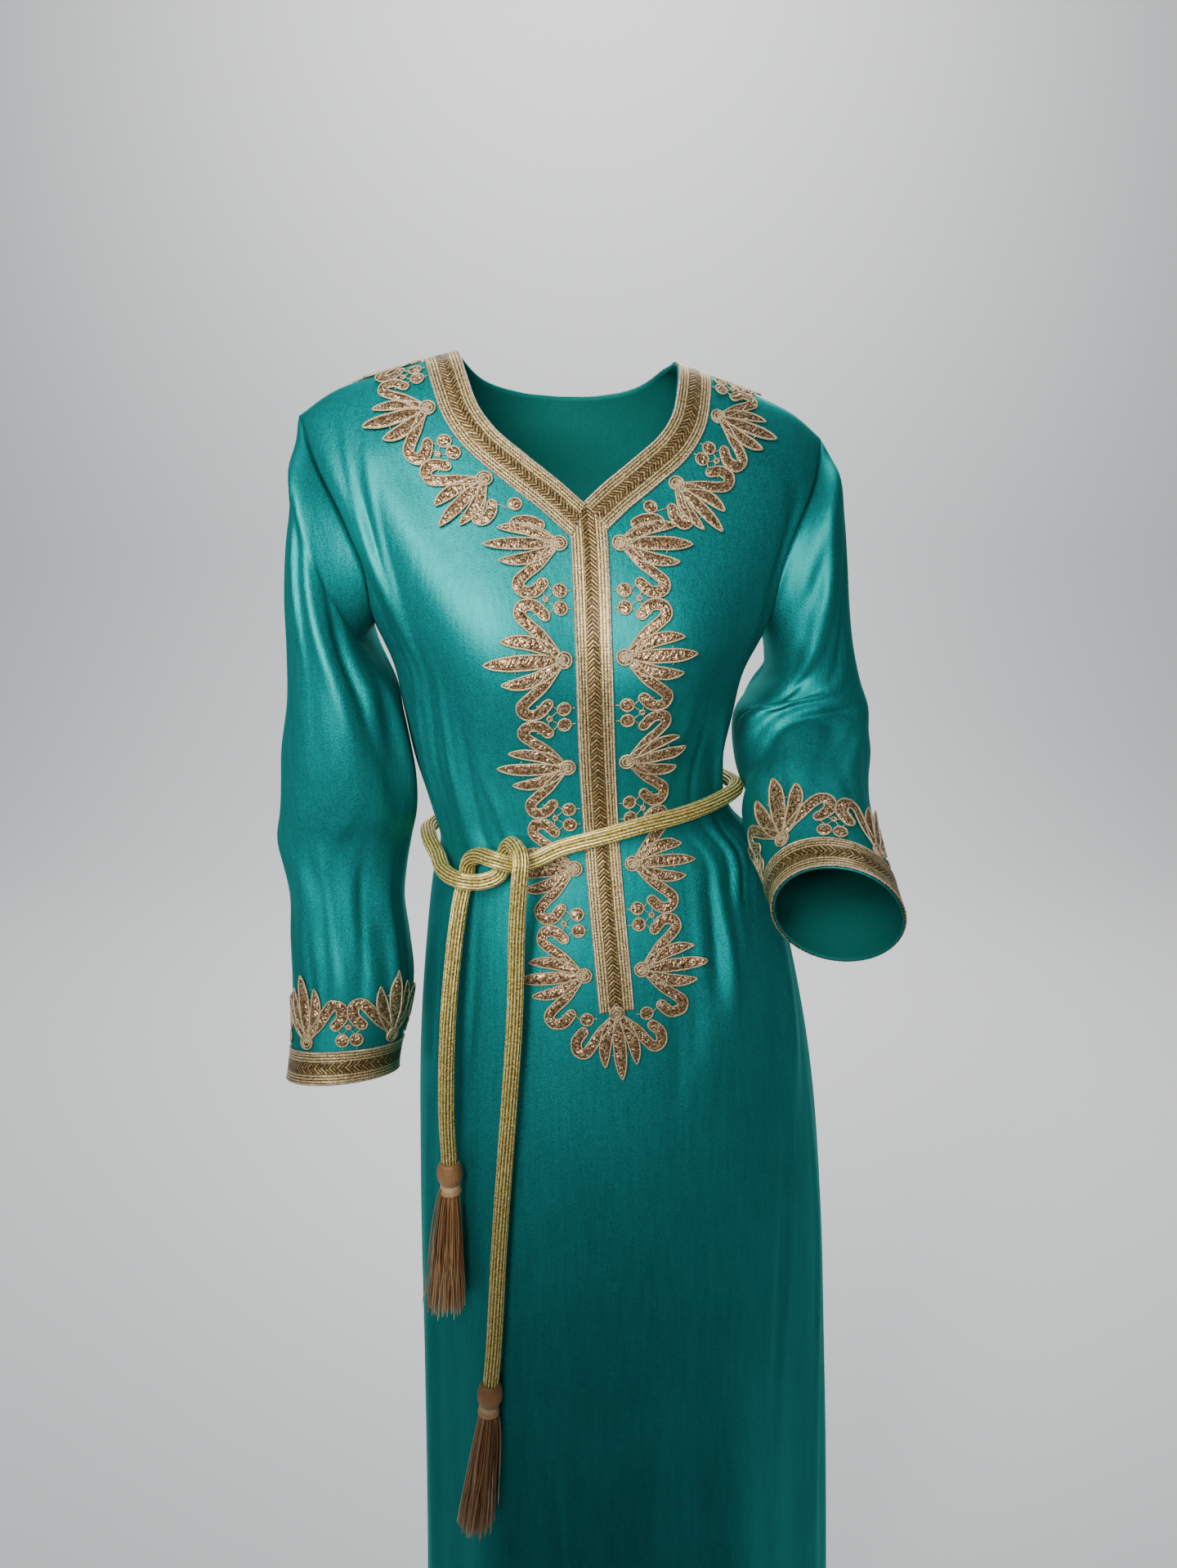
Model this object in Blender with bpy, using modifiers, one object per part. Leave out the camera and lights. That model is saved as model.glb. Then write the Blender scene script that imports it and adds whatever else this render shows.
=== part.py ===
"""A floor-length satin dress (jalabiya) in its worn, hollow form, with a rope belt.

Metres, +Z up. The front faces -Y and left means -X. The origin lies between the two
points where the neck meets the shoulder seams, where the wearer's shoulders hold it.
Every cloth piece is a thin wall on one surface: the body's sections and the sleeves'
rings come from the short tables below, and the trims lie on the walls' own points.
"""

import bpy
import numpy as np
from mathutils import Vector, geometry
from mathutils.bvhtree import BVHTree

WALL = 0.0014  # satin with its turnings
SEAM_GAP = 0.0003  # between two sewn pieces
SEAM_SHARE = 0.9  # each side's share of the gap, with a little to spare
TRIM_LIFT = 0.0007  # between a trim's back and the cloth under it
BRAID_WIDTH = 0.030
BRAID_THICK = 0.0016
LACE_THICK = 0.0014
LACE_DEPTH = 0.0900
ROPE_RADIUS = 0.007
TASSEL_HEAD_RADIUS = 0.010
TASSEL_SKIRT_RADIUS = 0.0155  # at its foot


def table(columns, rows):
    """A short table with named columns, as arrays."""
    return dict(zip(columns.split(), np.array(rows, float).T))


def smooth(rows, column, x):
    """The column's value at x, the table's first column, on one smooth curve."""
    keys = list(rows)
    xs = rows[keys[0]]
    ys = rows[column]
    order = np.argsort(xs)
    xs = xs[order]
    ys = ys[order]
    slopes = np.gradient(ys, xs)
    x = np.clip(x, xs[0], xs[-1])
    i = np.clip(np.searchsorted(xs, x) - 1, 0, len(xs) - 2)
    step = xs[i + 1] - xs[i]
    t = (x - xs[i]) / step
    return (
        (2 * t**3 - 3 * t**2 + 1) * ys[i]
        + (t**3 - 2 * t**2 + t) * step * slopes[i]
        + (3 * t**2 - 2 * t**3) * ys[i + 1]
        + (t**3 - t**2) * step * slopes[i + 1]
    )


# The body

SHOULDER_X = 0.226  # centre line to the end of the shoulder seam
NECK_X = 0.0925  # centre line to the neck end of the shoulder seam
UNDERARM = -0.225
SHOULDER_ROUND = 0.075  # how far below the seam the shoulder has its full depth
SEAM_HOLD = 16  # how sharply the folds die away at the side seams
SIDE_DROP = 0.03  # the right side hangs lower by this share of its distance out

BODY = table(
    "height half_width front back centre_x centre_y roundness turn",
    [
        (0.020, 0.232, 0.050, 0.050, -0.001, 0.004, 2.4, 8),
        (-0.050, 0.232, 0.062, 0.066, -0.001, 0.004, 2.4, 8),
        (-0.100, 0.223, 0.086, 0.086, -0.001, 0.003, 2.4, 8),
        (-0.150, 0.204, 0.112, 0.096, -0.001, 0.002, 2.4, 8),
        (-0.200, 0.180, 0.129, 0.099, -0.001, 0.001, 2.4, 8),
        (-0.225, 0.170, 0.133, 0.099, 0.000, 0.000, 2.3, 8),
        (-0.260, 0.154, 0.133, 0.096, -0.001, 0.000, 2.2, 8),
        (-0.300, 0.146, 0.123, 0.090, -0.001, 0.000, 2.2, 8),
        (-0.345, 0.138, 0.111, 0.085, 0.000, 0.000, 2.2, 8),
        (-0.372, 0.1345, 0.105, 0.083, 0.0045, 0.000, 2.2, 8),
        (-0.395, 0.137, 0.102, 0.084, 0.0135, 0.000, 2.2, 7),
        (-0.416, 0.145, 0.105, 0.089, 0.0270, 0.001, 2.2, 7),
        (-0.450, 0.156, 0.111, 0.098, 0.031, 0.002, 2.2, 6),
        (-0.520, 0.170, 0.121, 0.113, 0.036, 0.003, 2.2, 6),
        (-0.600, 0.182, 0.126, 0.121, 0.041, 0.004, 2.2, 6),
        (-0.750, 0.194, 0.132, 0.127, 0.048, 0.004, 2.2, 6),
        (-0.950, 0.201, 0.138, 0.134, 0.053, 0.004, 2.2, 6),
        (-1.200, 0.209, 0.144, 0.143, 0.057, 0.004, 2.2, 6),
        (-1.430, 0.218, 0.150, 0.152, 0.058, 0.004, 2.2, 6),
    ],
)
SHOULDER = table(
    "out height",
    [(0.0, 0.034), (0.0925, 0.0), (0.125, -0.010), (0.165, -0.023), (0.200, -0.038), (0.226, -0.057)],
)
NECK_FRONT = table(
    "share out height",
    [
        (0.0, 0.000, -0.1225),
        (0.2, 0.018, -0.1065),
        (0.4, 0.042, -0.0875),
        (0.6, 0.068, -0.0650),
        (0.73, 0.0795, -0.0480),
        (0.86, 0.0865, -0.0255),
        (1.0, 0.0925, 0.0),
    ],
)
NECK_BACK = table(
    "share out height",
    [(0.0, 0.000, -0.026), (0.35, 0.035, -0.0245), (0.7, 0.070, -0.0165), (1.0, 0.0925, 0.0)],
)
ARMHOLE = table(
    "share out height",
    [
        (0.0, 0.226, -0.057),
        (0.25, 0.211, -0.098),
        (0.5, 0.190, -0.140),
        (0.75, 0.174, -0.186),
        (0.9, 0.170, -0.212),
        (1.0, 0.170, -0.225),
    ],
)
# A fold: where its middle is (degrees from the front or back centre, + to +X), half its
# angle, how it leans (degrees for each metre down), its top, bottom, and how far it stands out
FRONT_FOLDS = table(
    "angle spread lean top bottom out",
    [
        (-27, 27, 0, -0.13, -0.36, 0.013),
        (25, 27, 0, -0.13, -0.36, 0.013),
        (-48, 10, 60, -0.02, -0.24, 0.004),
        (-62, 8, 40, -0.03, -0.26, 0.004),
        (-66, 9, -60, -0.30, -0.47, 0.005),
        (-46, 8, -40, -0.30, -0.50, 0.004),
        (54, 9, 130, -0.28, -0.44, 0.005),
        (44, 9, -120, -0.42, -0.66, 0.006),
        (66, 9, -70, -0.44, -0.72, 0.006),
        (-72, 9, 0, -0.46, -1.60, 0.010),
        (-44, 13, 4, -0.62, -1.70, 0.009),
        (-10, 13, 3, -0.56, -1.70, -0.006),
        (22, 12, 6, -0.60, -1.70, 0.009),
        (48, 12, 0, -0.58, -1.70, -0.006),
        (72, 11, 2, -0.55, -1.70, 0.008),
    ],
)
BACK_FOLDS = table(
    "angle spread lean top bottom out",
    [
        (-34, 20, 0, -0.05, -0.26, 0.005),
        (32, 20, 0, -0.05, -0.26, 0.005),
        (-26, 9, -20, -0.30, -0.56, 0.006),
        (24, 9, 20, -0.29, -0.54, 0.006),
        (-64, 10, 0, -0.48, -1.60, 0.009),
        (-30, 13, 0, -0.60, -1.70, 0.010),
        (2, 14, 0, -0.52, -1.70, -0.007),
        (36, 13, 0, -0.60, -1.70, 0.010),
        (66, 10, 0, -0.50, -1.60, 0.009),
    ],
)

SEAM_CELLS = 6  # mesh cells along one shoulder seam
FRONT_NECK_CELLS = 6  # and along half the neck edge
BACK_NECK_CELLS = 3
ARMHOLE_CELLS = 7  # from the shoulder to the underarm
SIDE_LEVELS = [-0.255, -0.285, -0.315, -0.345, -0.372, -0.396, -0.420, -0.446, -0.476, -0.512, -0.555]
SKIRT_LEVELS = [-0.605, -0.665, -0.735, -0.820, -0.920, -1.030, -1.150, -1.280, -1.430]


def bump(distance):
    """1 at 0, falling smoothly to 0 at 1 and beyond."""
    return np.where(np.abs(distance) < 1, 0.5 + 0.5 * np.cos(np.pi * np.clip(distance, -1, 1)), 0.0)


def fold_depth(folds, angle, height):
    """How far the folds move the cloth out, at angles in degrees and heights in metres."""
    out = np.zeros(np.broadcast(angle, height).shape)
    for row in zip(*folds.values()):
        middle, spread, lean, top, bottom, depth = row
        run = (height - top) / (bottom - top)
        across = (angle - middle + lean * (height - top)) / spread
        out += depth * bump(across) * bump(2 * run - 1)
    return out


def body_at(out, height, front):
    """Points of the body: out from the centre line and height, on the front or the back."""
    out, height = np.broadcast_arrays(np.asarray(out, float), np.asarray(height, float))
    half = smooth(BODY, "half_width", height)
    deep = smooth(BODY, "front" if front else "back", height)
    power = smooth(BODY, "roundness", height)
    share = np.clip(np.abs(out) / half, 0, 1)
    round_off = (1 - share**power) ** (1 / power)
    below = np.clip((smooth(SHOULDER, "height", np.abs(out)) - height) / SHOULDER_ROUND, 0, 1)
    cap = np.sqrt(1 - (1 - below) ** 2)
    y = deep * round_off * cap
    angle = np.degrees(np.arctan2(out / half, round_off))
    folds = fold_depth(FRONT_FOLDS if front else BACK_FOLDS, angle, height)
    normal = np.stack([out / half**2, y / np.maximum(deep, 0.01) ** 2])
    normal = normal / np.maximum(np.linalg.norm(normal, axis=0), 1e-9)
    folds = folds * cap * (1 - share**SEAM_HOLD)
    x = out + folds * normal[0]
    y = y + folds * normal[1]
    y = -y if front else y
    turn = np.radians(smooth(BODY, "turn", height))
    return np.stack(
        [
            smooth(BODY, "centre_x", height) + x * np.cos(turn) - y * np.sin(turn),
            smooth(BODY, "centre_y", height) + x * np.sin(turn) + y * np.cos(turn),
            height - SIDE_DROP * x * bump(height),
        ],
        axis=-1,
    )


def panel_grid(front):
    """The front or back as a grid of points, from the neck and shoulders down to the hem."""
    neck = NECK_FRONT if front else NECK_BACK
    neck_cells = FRONT_NECK_CELLS if front else BACK_NECK_CELLS
    half_cells = SEAM_CELLS + neck_cells
    side = np.arange(-half_cells, half_cells + 1)
    steps = np.abs(side)
    along_neck = np.minimum(steps / neck_cells, 1)
    along_seam = np.maximum(steps - neck_cells, 0) / SEAM_CELLS
    on_seam = steps > neck_cells
    seam_out = NECK_X + (SHOULDER_X - NECK_X) * along_seam
    top_out = np.where(on_seam, seam_out, smooth(neck, "out", along_neck)) * np.sign(side)
    top_height = np.where(
        on_seam, smooth(SHOULDER, "height", seam_out), smooth(neck, "height", along_neck)
    )
    # Columns spread a little towards the sides, where the cloth turns away
    angle = np.radians(90) * np.sign(side) * (steps / half_cells) ** 0.94
    low_share = np.sign(angle) * np.abs(np.sin(angle)) ** (2 / smooth(BODY, "roundness", UNDERARM))
    low_out = smooth(BODY, "half_width", UNDERARM) * low_share
    down = np.linspace(0, 1, ARMHOLE_CELLS + 1)[:, None]
    out = (1 - down) * top_out + down * low_out
    height = (1 - down) * top_height + down * UNDERARM
    weight = (steps / half_cells) ** 3
    edge_out = smooth(ARMHOLE, "out", down) - np.abs(out[:, -1:])
    edge_height = smooth(ARMHOLE, "height", down) - height[:, -1:]
    out = out + np.sign(side) * weight * edge_out
    height = height + weight * edge_height
    upper = body_at(out, height, front)
    lower = []
    for level in SIDE_LEVELS + SKIRT_LEVELS:
        share = np.sign(angle) * np.abs(np.sin(angle)) ** (2 / smooth(BODY, "roundness", level))
        lower.append(body_at(smooth(BODY, "half_width", level) * share, level, front))
    return np.concatenate([upper, np.array(lower)])


# The sleeves

RING = 2 * ARMHOLE_CELLS  # points round a sleeve
# Rings down each sleeve: the centre, half sizes across and front to back, how far the outer
# side is tipped up, how far the ring faces forward from straight down, and its squareness
SLEEVE_LEFT = table(
    "x y z half_width half_depth tilt pitch power",
    [
        (-0.2010, -0.027, -0.1605, 0.0800, 0.0650, 70, 0, 2.6),
        (-0.1993, -0.029, -0.1825, 0.0717, 0.0655, 65, 0, 2.5),
        (-0.1988, -0.035, -0.2058, 0.0620, 0.0660, 55, 0, 2.4),
        (-0.1965, -0.042, -0.2318, 0.0536, 0.0660, 41, 0, 2.2),
        (-0.1925, -0.047, -0.2605, 0.0485, 0.0650, 25, 0, 2.2),
        (-0.1905, -0.050, -0.2925, 0.0477, 0.0640, 10, 0, 2.2),
        (-0.1903, -0.049, -0.3260, 0.0518, 0.0620, 2, 0, 2.2),
        (-0.1905, -0.044, -0.3560, 0.0552, 0.0600, 0, 0, 2.2),
        (-0.1960, -0.036, -0.3850, 0.0595, 0.0580, 0, 4, 2.2),
        (-0.2025, -0.028, -0.4120, 0.0595, 0.0550, 0, 8, 2.2),
        (-0.2025, -0.026, -0.4400, 0.0538, 0.0530, 0, 10, 2.2),
        (-0.2018, -0.027, -0.4700, 0.0500, 0.0520, 0, 12, 2.2),
        (-0.2010, -0.029, -0.5050, 0.0520, 0.0520, 0, 12, 2.2),
        (-0.1990, -0.036, -0.5420, 0.0525, 0.0520, 0, 12, 2.2),
        (-0.2000, -0.042, -0.5750, 0.0515, 0.0515, -1, 12, 2.2),
        (-0.2035, -0.047, -0.5980, 0.0490, 0.0500, -2, 12, 2.1),
        (-0.2060, -0.050, -0.6140, 0.0480, 0.0490, -3, 12, 2.0),
        (-0.2080, -0.053, -0.6300, 0.0485, 0.0490, -4, 12, 2.0),
    ],
)
SLEEVE_RIGHT = table(
    "x y z half_width half_depth tilt pitch power",
    [
        (0.2065, 0.029, -0.1668, 0.0795, 0.0650, 69, 0, 2.6),
        (0.2110, 0.030, -0.1897, 0.0676, 0.0655, 63, 0, 2.5),
        (0.2140, 0.031, -0.2143, 0.0566, 0.0660, 55, 0, 2.4),
        (0.2162, 0.033, -0.2412, 0.0488, 0.0660, 44, 0, 2.2),
        (0.2122, 0.033, -0.2682, 0.0505, 0.0650, 27, 0, 2.2),
        (0.2100, 0.030, -0.2911, 0.0563, 0.0640, 13, 6, 2.2),
        (0.2115, 0.023, -0.3110, 0.0610, 0.0635, 4, 20, 2.2),
        (0.2105, 0.010, -0.3300, 0.0605, 0.0620, -1, 34, 2.2),
        (0.2110, -0.006, -0.3470, 0.0590, 0.0600, -2, 43, 2.2),
        (0.2110, -0.029, -0.3645, 0.0530, 0.0580, -3, 50, 2.2),
        (0.2060, -0.054, -0.3820, 0.0540, 0.0560, -5, 55, 2.2),
        (0.2070, -0.079, -0.3985, 0.0530, 0.0545, -8, 58, 2.2),
        (0.2105, -0.102, -0.4130, 0.0510, 0.0530, -11, 60, 2.2),
        (0.2135, -0.122, -0.4260, 0.0510, 0.0525, -13, 61, 2.1),
        (0.2155, -0.139, -0.4360, 0.0510, 0.0525, -15, 61, 2.0),
        (0.2167, -0.155, -0.4455, 0.0510, 0.0525, -16, 61, 2.0),
    ],
)
# Sleeve folds: ring number at the middle, half its length in rings, the angle round the
# sleeve (0 outer, 90 front or top), half its angle, how it winds (degrees a ring), and its rise
LEFT_FOLDS = table(
    "ring reach angle spread wind out",
    [
        (5.0, 5.5, 95, 26, 2, 0.006),
        (6.5, 5.0, 150, 24, -3, -0.006),
        (7.6, 2.2, 20, 40, 10, 0.004),
        (9.6, 1.8, 10, 42, 0, -0.004),
        (9.5, 2.0, 130, 34, 0, 0.005),
        (12.0, 2.6, 60, 24, 0, 0.005),
        (12.0, 2.4, 120, 20, 4, -0.004),
        (11.5, 3.0, 240, 30, 0, 0.005),
        (6.0, 4.0, 270, 28, 0, 0.006),
        (13.8, 1.6, 90, 15, 0, 0.003),
        (13.8, 1.6, 135, 15, 0, -0.003),
        (13.8, 1.6, 200, 20, 0, 0.003),
    ],
)
RIGHT_FOLDS = table(
    "ring reach angle spread wind out",
    [
        (4.2, 3.4, 100, 24, 14, 0.008),
        (5.6, 2.2, 120, 24, 14, -0.009),
        (7.2, 2.4, 130, 30, 12, 0.009),
        (8.6, 2.0, 70, 26, 10, -0.006),
        (10.2, 2.6, 110, 26, 0, 0.005),
        (10.5, 2.6, 55, 22, 0, 0.004),
        (6.0, 2.6, 330, 40, 0, 0.005),
        (9.0, 3.0, 250, 30, 0, 0.005),
        (12.0, 1.6, 80, 16, 0, 0.003),
        (12.0, 1.6, 130, 16, 0, -0.003),
    ],
)


def sleeve_ring(rows, folds, number, side):
    """One ring of a sleeve: RING points from the outer side, over the front, to the outer side."""
    x, y, z, width, depth, tilt, pitch, power = (rows[name][number] for name in rows)
    turn = 2 * np.pi * np.arange(RING) / RING
    tilt, pitch = np.radians(tilt), np.radians(pitch)
    down = np.array([0, -np.sin(pitch), -np.cos(pitch)])
    forward = np.array([0, -np.cos(pitch), np.sin(pitch)])
    across = np.array([side * np.cos(tilt), 0, 0]) - np.sin(tilt) * down
    rise = np.zeros(RING)
    for ring, reach, angle, spread, wind, out in zip(*folds.values()):
        away = number + 1 - ring
        off = (np.degrees(turn) - angle - wind * away + 180) % 360 - 180
        rise += out * bump(away / reach) * bump(off / spread)
    c, s = np.cos(turn), np.sin(turn)
    reach_c = np.sign(c) * np.abs(c) ** (2 / power)
    reach_s = np.sign(s) * np.abs(s) ** (2 / power)
    return (
        np.array([x, y, z])
        + np.outer(width * reach_c + rise * c, across)
        + np.outer(depth * reach_s + rise * s, forward)
    )


def sleeve_grid(rows, folds, side, front, back):
    """A sleeve as rings, the first of which is the armhole edge of the front and the back."""
    column = 0 if side < 0 else -1
    first = np.concatenate(
        [front[: ARMHOLE_CELLS + 1, column], back[1:ARMHOLE_CELLS, column][::-1]]
    )
    rings = [first]
    for number in range(len(rows["x"])):
        rings.append(sleeve_ring(rows, folds, number, side))
    return np.array(rings)


# Walls

def grid_faces(rows, columns, closed):
    """Quads of a grid, as corner numbers; a closed grid joins its last column to its first."""
    number = np.arange(rows * columns).reshape(rows, columns)
    if closed:
        number = np.concatenate([number, number[:, :1]], axis=1)
    corners = [number[:-1, :-1], number[1:, :-1], number[1:, 1:], number[:-1, 1:]]
    return np.stack([c.ravel() for c in corners], axis=1)


def vertex_normals(points, faces):
    """Normals of the points, weighted by the faces' areas."""
    a, b, c, d = (points[faces[:, k]] for k in range(4))
    normals = np.zeros_like(points)
    for k in range(4):
        np.add.at(normals, faces[:, k], np.cross(c - a, d - b))
    return normals


def rim_of(faces):
    """The open edges of a face list, each in its face's direction."""
    edges = np.concatenate([faces[:, [k, (k + 1) % faces.shape[1]]] for k in range(faces.shape[1])])
    seen = {(a, b) for a, b in edges.tolist()}
    return np.array([(a, b) for a, b in edges.tolist() if (b, a) not in seen])


def wall_faces(faces, count):
    """Outer faces, inner faces turned round, and the rim between them."""
    rim = rim_of(faces)
    turned = faces[:, ::-1] + count
    sides = np.stack([rim[:, 1], rim[:, 0], rim[:, 0] + count, rim[:, 1] + count], axis=1)
    return faces.tolist() + turned.tolist() + sides.tolist()


def add_mesh(name, points, faces, finish):
    """A mesh object of the part, in the part's collection, with its finish."""
    mesh = bpy.data.meshes.new(name)
    mesh.from_pydata(np.asarray(points).tolist(), [], faces)
    mesh.update()
    piece = bpy.data.objects.new(name, mesh)
    piece.data.materials.append(finish)
    DRESS.objects.link(piece)
    return piece


def finish(name, colour, roughness, metallic):
    material = bpy.data.materials.new(name)
    material.use_nodes = True
    shader = material.node_tree.nodes["Principled BSDF"]
    shader.inputs["Base Color"].default_value = (*colour, 1)
    shader.inputs["Roughness"].default_value = roughness
    shader.inputs["Metallic"].default_value = metallic
    return material


def cloth_panels():
    """The four cloth pieces as open surfaces: name, grid, whether it is closed, and facing."""
    front = panel_grid(True)
    back = panel_grid(False)
    left = sleeve_grid(SLEEVE_LEFT, LEFT_FOLDS, -1, front, back)
    right = sleeve_grid(SLEEVE_RIGHT, RIGHT_FOLDS, 1, front, back)
    return {
        "body_front": (front, False, 1),
        "body_back": (back, False, -1),
        "sleeve_left": (left, True, 1),
        "sleeve_right": (right, True, -1),
    }


def seam_key(point):
    return tuple(np.round(point, 5))


def unit(vectors):
    return vectors / np.linalg.norm(vectors, axis=-1)[..., None]


def joined_normal(meeting):
    """The normal halfway between the body's and a sleeve's, where panels meet at one point."""
    total = np.zeros(3)
    for kind in ("body", "sleeve"):
        normals = [normal for name, normal in meeting if name.startswith(kind)]
        if normals:
            total += unit(sum(normals))
    return unit(total)


def cloth_walls(panels):
    """Points, outward normals and faces of each panel, with one normal where panels meet."""
    walls = {}
    shared = {}
    for name, (grid, closed, facing) in panels.items():
        rows, columns = grid.shape[:2]
        points = grid.reshape(-1, 3)
        faces = grid_faces(rows, columns, closed)
        if facing < 0:
            faces = faces[:, ::-1]
        normals = vertex_normals(points, faces)
        normals /= np.linalg.norm(normals, axis=1)[:, None]
        for point, normal in zip(points, normals):
            shared.setdefault(seam_key(point), []).append((name, normal))
        triangles = np.concatenate([faces[:, [0, 1, 2]], faces[:, [0, 2, 3]]])
        walls[name] = [points, normals, triangles]
    for name, wall in walls.items():
        grid, closed, _ = panels[name]
        meets = np.array([len({n for n, _ in shared[seam_key(p)]}) > 1 for p in wall[0]])
        joined = np.array([joined_normal(shared[seam_key(p)]) for p in wall[0]])
        moved = pulled_in(grid, closed, meets.reshape(grid.shape[:2]), joined.reshape(grid.shape))
        wall[0] = moved.reshape(-1, 3)
        wall[1] = joined
    return walls


def pulled_in(grid, closed, meets, normals):
    """The grid with each edge point that meets another piece moved half the seam gap inwards."""
    moved = grid.copy()
    inward = [(np.s_[0], np.s_[1]), (np.s_[-1], np.s_[-2])]
    if not closed:
        inward += [(np.s_[:, 0], np.s_[:, 1]), (np.s_[:, -1], np.s_[:, -2])]
    for edge, inner in inward:
        step = grid[inner] - grid[edge]
        step = step - normals[edge] * (step * normals[edge]).sum(axis=-1)[..., None]
        step = step / np.linalg.norm(step, axis=-1)[..., None]
        moved[edge] += step * meets[edge][..., None] * SEAM_GAP * SEAM_SHARE
    return moved


def build_cloth(walls, satin):
    for name, (points, normals, faces) in walls.items():
        outer = points + normals * WALL / 2
        inner = points - normals * WALL / 2
        add_mesh(name, np.concatenate([outer, inner]), wall_faces(faces, len(points)), satin)


# Trims

SETTLE_ROUNDS = 6
SETTLE_PUSH = 1.5  # how far a trim's point is raised for each bit its face is short
SAMPLE_STEPS = 4
FACE_SAMPLES = [
    (a / SAMPLE_STEPS, b / SAMPLE_STEPS, (SAMPLE_STEPS - a - b) / SAMPLE_STEPS)
    for a in range(SAMPLE_STEPS + 1)
    for b in range(SAMPLE_STEPS + 1 - a)
]


class Cloth:
    """The outer face of some panels, on which a trim is laid."""

    def __init__(self, walls, names):
        points = []
        normals = []
        faces = []
        for name in names:
            start = len(np.concatenate(points)) if points else 0
            points.append(walls[name][0] + walls[name][1] * WALL / 2)
            normals.append(walls[name][1])
            faces.append(walls[name][2] + start)
        self.points = np.concatenate(points)
        self.normals = np.concatenate(normals)
        self.faces = np.concatenate(faces)
        self.tree = BVHTree.FromPolygons(self.points.tolist(), self.faces.tolist())

    def under(self, points):
        """The nearest point of the cloth to each point, and the cloth's smooth normal there."""
        found = []
        facing = []
        for point in points:
            spot, flat, index, _ = self.tree.find_nearest(Vector(point))
            corners = self.faces[index]
            found.append(spot)
            facing.append(self.blend(corners, spot, flat))
        return np.array(found), np.array(facing)

    def blend(self, corners, spot, flat):
        a, b, c = (Vector(self.points[k]) for k in corners)
        whole = (b - a).cross(c - a).length
        wa = (b - spot).cross(c - spot).length / whole
        wb = (c - spot).cross(a - spot).length / whole
        normal = wa * self.normals[corners[0]] + wb * self.normals[corners[1]]
        normal = normal + max(0.0, 1 - wa - wb) * self.normals[corners[2]]
        return normal / np.linalg.norm(normal)

    def settled(self, base, faces, normals):
        """The trim's back, raised along the normals until its faces clear the cloth under them."""
        base = base.copy()
        for _ in range(SETTLE_ROUNDS):
            raise_by = np.zeros(len(base))
            for mix in FACE_SAMPLES:
                middle = sum(w * base[faces[:, k]] for k, w in enumerate(mix))
                spots, facing = self.under(middle)
                height = np.einsum("ij,ij->i", middle - spots, facing)
                short = np.maximum(TRIM_LIFT / 2 - height, 0) * SETTLE_PUSH
                for k in range(3):
                    np.maximum.at(raise_by, faces[:, k], short * (mix[k] > 0))
            base += normals * raise_by[:, None]
            if raise_by.max() == 0:
                break
        return base


def lay_trim(name, points, faces, cloth, thick, gold):
    """A flat trim of the given thickness on the cloth, from its points near the cloth."""
    spots, normals = cloth.under(points)
    if faces.shape[1] == 4:
        faces = np.concatenate([faces[:, [0, 1, 2]], faces[:, [0, 2, 3]]])
    corner = points[faces]
    turn = np.cross(corner[:, 1] - corner[:, 0], corner[:, 2] - corner[:, 0])
    if (turn * normals[faces[:, 0]]).sum() < 0:
        faces = faces[:, ::-1]
    base = cloth.settled(spots + normals * TRIM_LIFT, faces, normals)
    both = np.concatenate([base + normals * thick, base])
    return add_mesh(name, both, wall_faces(faces, len(base)), gold)


class Spine:
    """A line on the cloth that a trim follows: a place along it, and a distance out from it."""

    def __init__(self, points, cloth, flip=1):
        self.points = np.asarray(points)
        steps = np.linalg.norm(np.diff(self.points, axis=0), axis=1)
        self.along = np.concatenate([[0], np.cumsum(steps)])
        self.length = self.along[-1]
        tangent = np.gradient(self.points, self.along, axis=0)
        tangent /= np.linalg.norm(tangent, axis=1)[:, None]
        normal = cloth.under(self.points)[1]
        out = np.cross(normal, tangent) * flip
        self.tangent = tangent
        self.out = out / np.linalg.norm(out, axis=1)[:, None]

    def read(self, values, along):
        return np.stack([np.interp(along, self.along, values[:, k]) for k in range(3)], axis=-1)

    def at(self, along, out):
        along, out = np.broadcast_arrays(np.asarray(along, float), np.asarray(out, float))
        inside = np.clip(along, 0, self.length)
        spot = self.read(self.points, inside) + self.read(self.tangent, inside) * (along - inside)[..., None]
        return spot + self.read(self.out, inside) * out[..., None]


# Braids

NECK_STEPS = np.linspace(0, 1, 25)
PLACKET = table(
    "height x",
    [
        (-0.120, 0.0144),
        (-0.150, 0.0174),
        (-0.180, 0.0190),
        (-0.240, 0.0210),
        (-0.330, 0.0241),
        (-0.390, 0.0274),
        (-0.450, 0.0322),
        (-0.520, 0.0388),
        (-0.600, 0.0457),
    ],
)
PLACKET_STEPS = np.linspace(-0.123, -0.62, 60)  # heights, from above the V to below the end
PLACKET_TOP = 0.0445  # along the placket's line, where its point starts
PLACKET_LENGTH = 0.432
PLACKET_POINT = 0.75  # how steep the point is
MITRE_RUN = 0.87  # the neck braid's mitred end runs on by this share of the distance out
MITRE_GAP = 0.0004
BRAID_CELL = 0.017  # length of a mesh cell along a braid
CUFF_EDGE = 0.0005  # from the end of the sleeve up to its braid


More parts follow.
